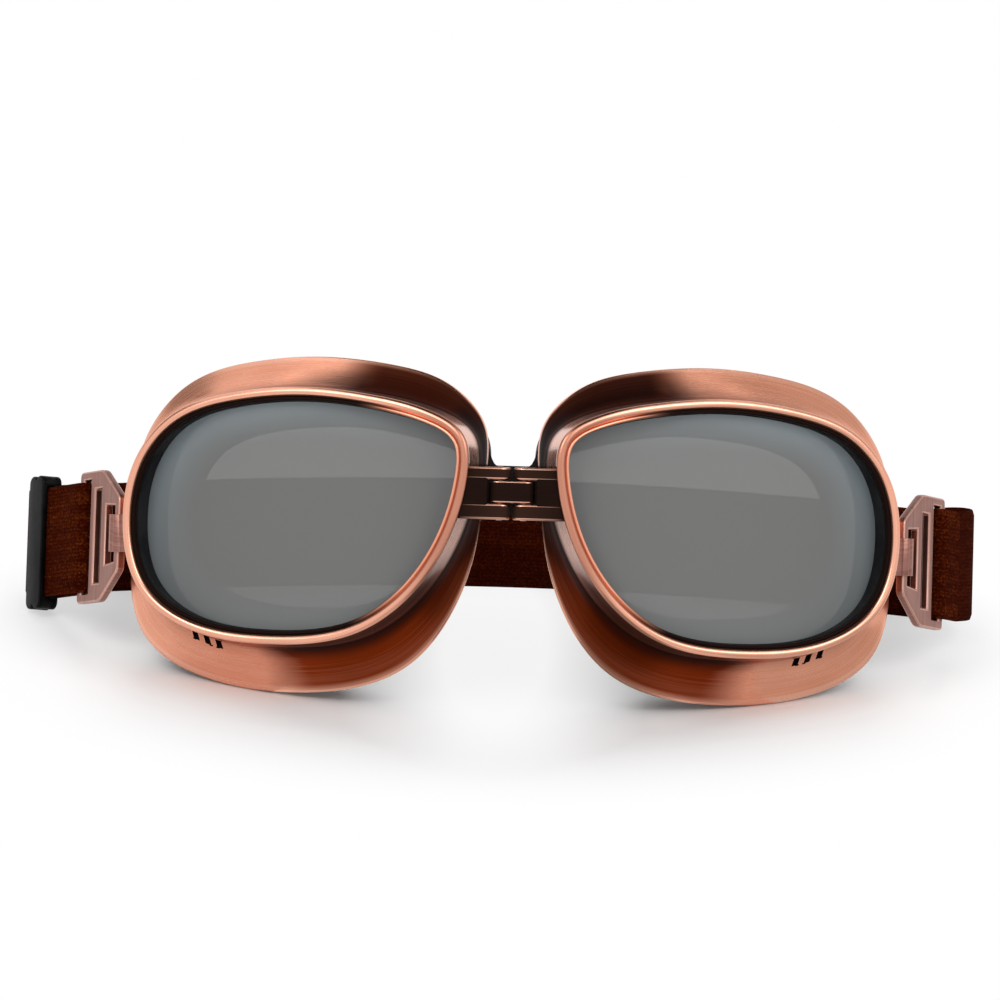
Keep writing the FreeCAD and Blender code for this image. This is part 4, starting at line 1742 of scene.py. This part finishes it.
@dataclass
class StrapEnd:
    """A buckle with the strap end round its outer bar, in the buckle's own axes."""

    side: Side
    splay_deg: float = 30.0
    lean_deg: float = 27.0
    half_height: float = 15.2
    thickness: float = 2.0
    bar: float = 1.1
    narrow: float = 8.4
    narrow_hole: float = 6.4
    wide_hole: float = 6.9
    shoulder: float = 8.0
    inner_bar: float = 7.0
    middle_bar: float = 12.6
    outer_bar: float = 18.2
    short_slot: float = 10.9
    strap_slot: float = 13.2
    strap_half: float = 12.7
    strap_thickness: float = 1.2
    bend_radius: float = 1.25
    corner_round: float = 1.2
    edge_round: float = 0.42
    left_straight: float = 40.0
    right_straight: float = 24.0

    @property
    def turn_deg(self) -> float:
        """The turn that points the buckle outwards and back."""
        return 90 - self.side.value * self.splay_deg

    @property
    def straight(self) -> float:
        """How far the strap's two layers run."""
        return self.left_straight if self.side is Side.LEFT else self.right_straight

    @property
    def body(self) -> str:
        """The CAD body of the buckle."""
        return f"{self.side.word}_buckle_body"

    def placed(self, points: np.ndarray) -> np.ndarray:
        """Places rows of the buckle's own axes.

        Args:
            points: rows of outwards, thickness and up, in millimetres.

        Returns:
            Rows in the row frame, in metres.
        """
        lean = Matrix.Rotation(math.radians(-self.lean_deg), 3, "X")
        turn = Matrix.Rotation(math.radians(self.turn_deg), 3, "Z")
        turned = np.asarray(points, float).reshape(-1, 3) @ np.array(lean @ turn).T
        return (turned + joint_place(f"{self.side.word}_buckle_swing")) * MM

    def buckle(self) -> Object:
        """The cast frame with its slots and bars.

        Returns:
            The piece.
        """
        b, half = self.bar, self.half_height
        outline = [(-b, -self.narrow), (self.shoulder, -half), (self.outer_bar + b, -half),
                   (self.outer_bar + b, half), (self.shoulder, half), (-b, self.narrow)]
        inner, wide, narrow = self.inner_bar - b, self.wide_hole, self.narrow_hole
        holes = [
            [(b, -narrow), (inner, -wide), (inner, wide), (b, narrow)],
            box(self.inner_bar + b, self.middle_bar - b, -self.short_slot, self.short_slot),
            box(self.middle_bar + b, self.outer_bar - b, -self.strap_slot, self.strap_slot),
        ]
        eased = self.eased(outline, self.corner_round)
        points, faces = prism(eased, holes, -self.thickness / 2, self.thickness / 2)
        points = points[:, [0, 2, 1]]
        name = f"{self.side.word}_buckle_frame"
        mesh = build_mesh(name, self.placed(points), faces, points[:, [2, 1, 0]])
        piece = bevelled(new_object(name, mesh), self.edge_round, 4)
        set_values(piece.data, "recess", 0.05)
        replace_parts(piece, f"{self.side.word}_buckle")
        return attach(dressed(piece, PINK_COPPER), self.body)

    @staticmethod
    def eased(corners: Sequence[Pair], radius: float) -> list[Pair]:
        """Rounds the corners of an outline.

        Args:
            corners: the outline.
            radius: how far before a corner the rounding starts.

        Returns:
            The longer outline.
        """
        values = np.array(corners)
        made = []
        for index, corner in enumerate(values):
            ends = []
            for other in (values[index - 1], values[(index + 1) % len(values)]):
                run = other - corner
                ends.append(corner + run / np.linalg.norm(run) * radius)
            made += [tuple(point) for point in rounding(ends[0], corner, ends[1], 4)]
        return made

    def strap(self) -> Object:
        """The strap end: two layers joined by the bend round the outer bar.

        Returns:
            The piece.
        """
        middle = self.bend_radius + self.strap_thickness / 2
        outer = 1.0 if self.side is Side.LEFT else -1.0
        runs = np.linspace(self.straight, self.outer_bar, 26)
        line = [(x, outer * middle) for x in runs]
        bend = np.linspace(0, math.pi, 15)[1:-1]
        line += [(self.outer_bar - middle * math.sin(a), outer * middle * math.cos(a)) for a in bend]
        line += [(x, -outer * middle) for x in runs[::-1]]
        path = np.array(line)
        heading = headings(path)
        beside = np.stack([-heading[:, 1], heading[:, 0]], axis=1)
        ribbon = Ribbon(self.strap_half * 2, self.strap_thickness)
        stations = []
        for place, out in zip(path, beside):
            corner = np.array([place[0], place[1], -self.strap_half])
            stations.append((corner, np.array([out[0], out[1], 0.0]), np.array([0.0, 0.0, 1.0])))
        mesh = ribbon.mesh(f"{self.side.word}_strap_fold", stations, self.placed)
        piece = new_object(mesh.name, mesh)
        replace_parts(piece, f"{self.side.word}_strap_end")
        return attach(dressed(piece, WEBBING), self.body)

    def build(self) -> list[Object]:
        """The buckle and its strap end."""
        return [self.buckle(), self.strap()]


@dataclass(frozen=True)
class Ribbon:
    """A woven strap's rounded section, carried along stations."""

    width: float
    thickness: float
    edge: float = 0.5
    side_points: int = 22

    def section(self) -> np.ndarray:
        """The strap's rounded outline.

        Returns:
            Rows of out and up round the section, from its lower edge.
        """
        half = self.thickness / 2
        up = np.linspace(0.0, 1.0, self.side_points) * self.width
        fall = np.clip(np.minimum(up, self.width - up) / self.edge, 0, 1)
        out = half * np.sqrt(np.clip(1 - (1 - fall) ** 2, 0.12, 1))
        one = np.stack([out, up], axis=1)
        other = np.stack([-out, up], axis=1)[::-1]
        return np.vstack([one, other])

    def mesh(self, name: str, stations: Sequence[tuple[np.ndarray, np.ndarray, np.ndarray]],
             place: Callable[[np.ndarray], np.ndarray], start: float = 0.0) -> Mesh:
        """The strap's mesh.

        Args:
            name: its name.
            stations: the lower edge, the way out and the way up at each step.
            place: turns the rows into the row frame.
            start: the length along the strap of the first station.

        Returns:
            The closed mesh, with lengths along and across as its path.
        """
        section = self.section()
        points, paths, along, before = [], [], start, None
        for corner, out, up in stations:
            along += 0.0 if before is None else float(np.linalg.norm(corner - before))
            before = corner
            points.append(corner + section[:, :1] * out + section[:, 1:] * up)
            paths.append(np.stack([np.full(len(section), along), section[:, 1], section[:, 0]], axis=1))
        columns = len(section)
        faces = grid_faces(len(points), columns, False, True)
        faces.append(tuple(range(columns)))
        faces.append(tuple(range((len(points) - 1) * columns, len(points) * columns))[::-1])
        return build_mesh(name, place(np.array(points).reshape(-1, 3)), faces, np.array(paths).reshape(-1, 3))


@dataclass
class RearStrap:
    """The strap's run behind the eyecups, in four lengths."""

    left: StrapEnd
    right: StrapEnd
    reach: float = 75.0
    apex_x: float = 5.0
    left_lead: float = 9.0
    right_lead: float = 22.0
    left_radius: float = 5.0
    rear_radius: float = 420.0
    right_radius: float = 13.0
    steps: tuple[int, int, int] = (28, 60, 28)
    spacing: float = 1.2
    left_cut: float = 0.45
    right_cut: float = 0.55

    def end(self, strap_end: StrapEnd) -> tuple[np.ndarray, np.ndarray]:
        """Where a strap end hands over, and its heading on the floor.

        Args:
            strap_end: the strap end.

        Returns:
            The lower edge's place in millimetres and the flat heading.
        """
        middle = strap_end.bend_radius + strap_end.strap_thickness / 2
        outer = middle if strap_end.side is Side.LEFT else -middle
        place = strap_end.placed(np.array([[strap_end.straight, outer, -strap_end.strap_half]]))[0] / MM
        turn = math.radians(strap_end.turn_deg)
        return place, np.array([math.cos(turn), math.sin(turn), 0.0])

    def route(self) -> list[tuple[np.ndarray, np.ndarray, np.ndarray]]:
        """Lays the strap along straight runs and rounded corners.

        Returns:
            The lower edge, the way out and the way up at each step.
        """
        left, left_heading = self.end(self.left)
        right, right_heading = self.end(self.right)
        lifts = left[2], right[2]
        left, right = left * (1, 1, 0), right * (1, 1, 0)
        low_edge = np.array([[0.0, PLACING.cup_back + Eyecup.cup_back, -Outline.half_height]])
        skirt = PLACING.goggles(low_edge)[0][1] / MM
        apex = np.array([self.apex_x + PLACING.home[0], skirt + self.reach, 0.0])
        corners = [left, left + left_heading * self.left_lead, apex,
                   right + right_heading * self.right_lead, right]
        line = [left]
        radii = (self.left_radius, self.rear_radius, self.right_radius)
        for index, (radius, steps) in enumerate(zip(radii, self.steps)):
            corner = corners[index + 1]
            into = (corner - corners[index]) / np.linalg.norm(corner - corners[index])
            out = (corners[index + 2] - corner) / np.linalg.norm(corners[index + 2] - corner)
            turn = math.acos(float(np.clip(into @ out, -1, 1)))
            first = corner - into * radius * math.tan(turn / 2)
            side = out - into * (into @ out)
            side /= np.linalg.norm(side)
            for step in range(steps + 1):
                angle = turn * step / steps
                line.append(first + into * radius * math.sin(angle) + side * radius * (1 - math.cos(angle)))
        line.append(right)
        places = np.array(line)
        fine = self.even(places, self.spacing)
        lengths = self.lengths(fine)
        fold = np.linalg.norm(np.diff(places, axis=0), axis=1)
        left_run = float(fold[: self.steps[0] + 1].sum())
        right_run = float(fold[-self.steps[2] - 1 :].sum())
        lean = math.radians(self.left.lean_deg)
        up = np.array([0.0, math.sin(lean), math.cos(lean)])
        stations = []
        for place, way, length in zip(fine, headings(fine), lengths):
            left_lift = lifts[0] * max(0.0, 1 - length / left_run)
            right_lift = lifts[1] * max(0.0, 1 - (lengths[-1] - length) / right_run)
            out = np.array([-way[1], way[0], 0.0])
            stations.append((place + (0, 0, left_lift + right_lift), out, up))
        return stations

    @staticmethod
    def lengths(places: np.ndarray) -> np.ndarray:
        """How far along a line each of its points lies."""
        return np.concatenate([[0.0], np.cumsum(np.linalg.norm(np.diff(places, axis=0), axis=1))])

    @staticmethod
    def in_metres(rows: np.ndarray) -> np.ndarray:
        """Turns millimetres of the row frame into metres."""
        return rows * MM

    @staticmethod
    def even(places: np.ndarray, step: float) -> np.ndarray:
        """Spaces a line's points evenly.

        Args:
            places: the line.
            step: about how far apart.

        Returns:
            The evenly spaced line.
        """
        lengths = RearStrap.lengths(places)
        spots = np.linspace(0.0, lengths[-1], int(lengths[-1] / step) + 1)
        return np.stack([np.interp(spots, lengths, places[:, axis]) for axis in range(3)], axis=1)

    def build(self) -> list[Object]:
        """The four lengths of the strap.

        Returns:
            The pieces.
        """
        stations = self.route()
        across = np.array([station[0][0] for station in stations])
        far = len(stations) - 1
        middle = int(np.argmin(np.abs(across - PLACING.home[0])))
        first = int(middle * self.left_cut)
        last = int(middle + (far - middle) * self.right_cut)
        cuts = (0, first, middle, last, far)
        ribbon = Ribbon(self.left.strap_half * 2, self.left.strap_thickness)
        pieces = []
        for index in range(4):
            part = stations[cuts[index] : cuts[index + 1] + 1]
            name = f"rear_strap_{index + 1}"
            start = self.spacing * cuts[index]
            piece = new_object(name, ribbon.mesh(name, part, self.in_metres, start))
            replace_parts(dressed(piece, SHADED_REAR_WEBBING), "strap_rear")
            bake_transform(piece)
            pieces.append(piece)
        return pieces


@dataclass
class Slider:
    """The moulded strap adjuster on the left strap end."""

    end: StrapEnd
    place: float = 36.3
    width: float = 7.0
    height: float = 31.0
    plate: float = 1.25
    gap: float = 0.3
    lobe: float = 1.9
    end_step: float = 0.2
    edge_round: float = 0.3

    def build(self) -> Object:
        """The plate in front of the outer layer, the bar behind it and the lobed ends.

        Returns:
            The piece.
        """
        bar = self.end.bend_radius - self.gap
        far = self.end.bend_radius + self.end.strap_thickness + self.gap
        half, lobe_z = self.width / 2, self.height / 2 - self.lobe
        opening = self.end.strap_half + self.gap
        upper = self.lobes(half - self.lobe, lobe_z)
        lower = [(x, -z) for x, z in upper[::-1]]
        whole = [(self.place + x, z) for x, z in [*upper, *lower]]
        meshes = [self.solid("slider_front", whole, far, far + self.plate),
                  self.solid("slider_bar", whole, -bar, bar)]
        low, high = -bar + self.end_step, far + self.plate - self.end_step
        for sign, run in ((1, upper), (-1, lower)):
            block = [(self.place + x, z) for x, z in run]
            ends = [(self.place + half * way, sign * opening) for way in (-1, 1)]
            meshes.append(self.solid(f"slider_end_{sign}", block + ends[::sign], low, high))
        piece = joined("strap_adjuster", meshes)
        smoothed(piece.data)
        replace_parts(piece, "strap_slider")
        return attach(dressed(piece, PLASTIC), "slider_body")

    def lobes(self, reach: float, height: float) -> list[Pair]:
        """The two round lobes of the upper end, from the outer side to the inner one.

        Args:
            reach: how far each lobe's middle lies from the slider's middle.
            height: the height of the lobes' middles.

        Returns:
            Rows of across and up.
        """
        waist = math.degrees(math.acos(min(1.0, reach / self.lobe)))
        first = arc((reach, height), self.lobe, 0, 180 - waist, 12)
        second = arc((-reach, height), self.lobe, waist, 180, 12)
        return first + second[1:]

    def solid(self, name: str, outline: Sequence[Pair], low: float, high: float) -> Mesh:
        """A rounded plate of the slider.

        Args:
            name: its name.
            outline: its corners outwards and up.
            low: its lower face across the strap's thickness.
            high: its upper face.

        Returns:
            The mesh.
        """
        points, faces = prism(outline, [], low, high)
        mesh = build_mesh(name, self.end.placed(points[:, [0, 2, 1]]), faces)
        return taken(bevelled(new_object(name, mesh), self.edge_round))


@dataclass
class Studio:
    """Camera, floor, even light, lamps, and cards that only reflections show."""

    azimuth_deg: float = 0.36
    elevation_deg: float = 21.4
    roll_deg: float = 1.61
    distance: float = 1.6
    span: float = 0.2229
    aim: Pair = (-0.00257, 0.00484)
    sensor: float = 36.0
    clip: Pair = (0.05, 30.0)
    world_light: float = 0.46
    floor_half: float = 6.0
    floor_tone: float = 0.97
    floor_roughness: float = 0.45
    far_scale: Triple = (0.9, 1.3, 1.0)
    far_fade: Pair = (0.07, 0.118)
    gap_scale: Triple = (1.0, 0.28, 1.0)
    gap_fade: Pair = (0.012, 0.036)
    gap_white: float = 0.8
    lamp_aim: Triple = (0.0, 0.0, 0.03)
    card_black: float = 0.004
    card_white: Triple = (1.0, 0.97, 0.94)

    def camera(self) -> None:
        """The camera at the photograph's angle."""
        a, e = math.radians(self.azimuth_deg), math.radians(self.elevation_deg)
        back = Vector((math.sin(a) * math.cos(e), -math.cos(a) * math.cos(e), math.sin(e)))
        right = Vector((math.cos(a), math.sin(a), 0.0))
        up = back.cross(right)
        target = Vector(PLACING.home * MM) + right * self.aim[0] + up * self.aim[1]
        data = bpy.data.cameras.new("view")
        data.sensor_width = self.sensor
        data.lens = data.sensor_width * self.distance / self.span
        data.clip_start, data.clip_end = self.clip
        made = bpy.data.objects.new("view", data)
        made.location = target + back * self.distance
        turn = Matrix((right, up, back)).transposed() @ Matrix.Rotation(math.radians(self.roll_deg), 3, "Z")
        made.rotation_euler = turn.to_euler()
        bpy.context.scene.collection.objects.link(made)
        bpy.context.scene.camera = made

    @staticmethod
    def seen(tools: Sockets) -> NodeSocket:
        """Tells which rays show the white round the goggles.

        Args:
            tools: the node helper of the floor or the even light.

        Returns:
            1 for the camera's rays, reflections and what a lens lets through, and 0 for other rays.
        """
        rays = tools.node("ShaderNodeLightPath")
        seen = tools.math("MAXIMUM", rays.outputs["Is Camera Ray"], rays.outputs["Is Glossy Ray"])
        return tools.math("MAXIMUM", seen, rays.outputs["Is Transmission Ray"])

    @staticmethod
    def sheet(name: str, across: Pair, back: Pair, height: float) -> Object:
        """A level rectangle.

        Args:
            name: its name.
            across: where it starts and ends across, in metres.
            back: where it starts and ends backwards.
            height: its height.

        Returns:
            The new object.
        """
        mesh = bpy.data.meshes.new(name)
        mesh.from_pydata([(x, y, height) for x, y in box(*across, *back)], [], [(0, 1, 2, 3)])
        return new_object(name, mesh)

    def floor(self) -> None:
        """A pale floor that turns to plain white away from the goggles, with painted light that whitens the
        shade in the gap between the cups.
        """
        reach = (-self.floor_half, self.floor_half)
        made = self.sheet("floor", reach, reach, 0.0)
        material = bpy.data.materials.new("pale_floor")
        material.use_nodes = True
        tools = Sockets(material.node_tree)
        shader = material.node_tree.nodes["Principled BSDF"]
        leave = material.node_tree.nodes["Material Output"]
        shader.inputs["Base Color"].default_value = (self.floor_tone,) * 3 + (1,)
        shader.inputs["Roughness"].default_value = self.floor_roughness
        shader.inputs["Specular IOR Level"].default_value = 0.0
        white = tools.node("ShaderNodeEmission")
        place = tools.node("ShaderNodeTexCoord").outputs["Object"]
        far = tools.spread(tools.length(tools.scaled(place, self.far_scale)), *self.far_fade, 0.0, 1.0)
        beside = tools.length(tools.scaled(place, self.gap_scale))
        # Painted light that whitens the floor's shade between the cups.
        gap = tools.spread(beside, *self.gap_fade, self.gap_white, 0.0)
        plain = tools.math("MAXIMUM", far, gap)
        mix = tools.node("ShaderNodeMixShader")
        tools.link(tools.math("MULTIPLY", plain, self.seen(tools)), mix.inputs[0])
        tools.link(shader.outputs[0], mix.inputs[1])
        tools.link(white.outputs[0], mix.inputs[2])
        tools.link(mix.outputs[0], leave.inputs["Surface"])
        made.data.materials.append(material)

    def world(self) -> None:
        """Even light, seen as plain white."""
        world = bpy.data.worlds.new("studio")
        bpy.context.scene.world = world
        world.use_nodes = True
        tools = Sockets(world.node_tree)
        shade = world.node_tree.nodes["Background"]
        shade.inputs["Color"].default_value = (1.0, 1.0, 1.0, 1)
        strength = tools.spread(self.seen(tools), 0.0, 1.0, self.world_light, 1.0)
        tools.link(strength, shade.inputs["Strength"])

    def lamp(self, name: str, place: Triple, size: float, power: float, glossy: bool = True) -> None:
        """A square soft light that faces the goggles.

        Args:
            name: its name.
            place: where it is.
            size: its side in metres.
            power: its power in watts.
            glossy: whether it shows in reflections.
        """
        data = bpy.data.lights.new(name, "AREA")
        data.size = size
        data.energy = power
        made = bpy.data.objects.new(name, data)
        made.location = place
        made.visible_glossy = glossy
        aim = Vector(self.lamp_aim) - Vector(place)
        made.rotation_euler = aim.to_track_quat("-Z", "Y").to_euler()
        bpy.context.scene.collection.objects.link(made)

    def card(self, name: str, across: Pair, back: Pair, height: float, glow: float) -> None:
        """A dark or lit level card that only shows in the metal's reflections.

        Args:
            name: its name.
            across: where it starts and ends across, in metres.
            back: where it starts and ends backwards.
            height: its height.
            glow: how bright it is; 0 is a dark card.
        """
        made = self.sheet(name, across, back, height)
        material = bpy.data.materials.new(name)
        material.use_nodes = True
        shader = material.node_tree.nodes["Principled BSDF"]
        shader.inputs["Base Color"].default_value = (self.card_black,) * 3 + (1,)
        shader.inputs["Specular IOR Level"].default_value = 0.0
        shader.inputs["Emission Color"].default_value = (*self.card_white, 1)
        shader.inputs["Emission Strength"].default_value = glow
        made.data.materials.append(material)
        made.visible_camera = False
        made.visible_diffuse = False
        made.visible_shadow = False
        made.visible_transmission = False

    def build(self) -> None:
        """Sets the studio up."""
        bpy.context.scene.view_settings.view_transform = "Standard"
        self.camera()
        self.floor()
        self.world()
        self.lamp("key", (-0.5, -0.55, 0.9), 0.6, 3.6)
        self.lamp("fill", (0.6, -0.5, 0.8), 0.6, 3.1)
        self.lamp("back", (0.0, 0.50, 0.9), 0.5, 3.0, False)
        self.card("overhead_card", (-0.200, 0.165), (-0.15, 0.60), 0.50, 0.0)
        self.card("left_temple_card", (-1.30, -0.52), (-0.10, 0.70), 0.50, 0.30)
        self.card("right_temple_card", (0.20, 1.30), (-0.10, 0.70), 0.51, 0.62)
        self.card("left_strip_light", (-0.278, -0.262), (-0.05, 0.50), 0.49, 3.0)
        self.card("right_strip_light", (0.244, 0.258), (-0.05, 0.50), 0.49, 3.0)
        self.card("right_floor_card", (0.064, 0.30), (-0.20, -0.01), 0.0003, 0.66)
        for step in range(3):
            inset, height = 0.004 * step, 0.0004 + 0.0002 * step
            back = (-0.16, -0.03)
            self.card(f"left_floor_card_{step}", (-0.050 + inset, 0.0), back, height, 0.9 - 0.12 * step)
            self.card(f"right_floor_card_{step}", (0.0, 0.046 - inset), back, height, 0.7 - 0.22 * step)


def main() -> None:
    """Builds the studio and the goggles in order."""
    logging.basicConfig(level=logging.INFO, format="%(name)s: %(message)s")
    Studio().build()
    ends = {side: StrapEnd(side) for side in Side}
    RearStrap(ends[Side.LEFT], ends[Side.RIGHT]).build()
    for side in Side:
        ends[side].build()
        Eyecup(side, top_black=0.85 if side is Side.LEFT else 0.98).build()
    Slider(ends[Side.LEFT]).build()
    Bridge().build()


if __name__ == "__main__":
    main()
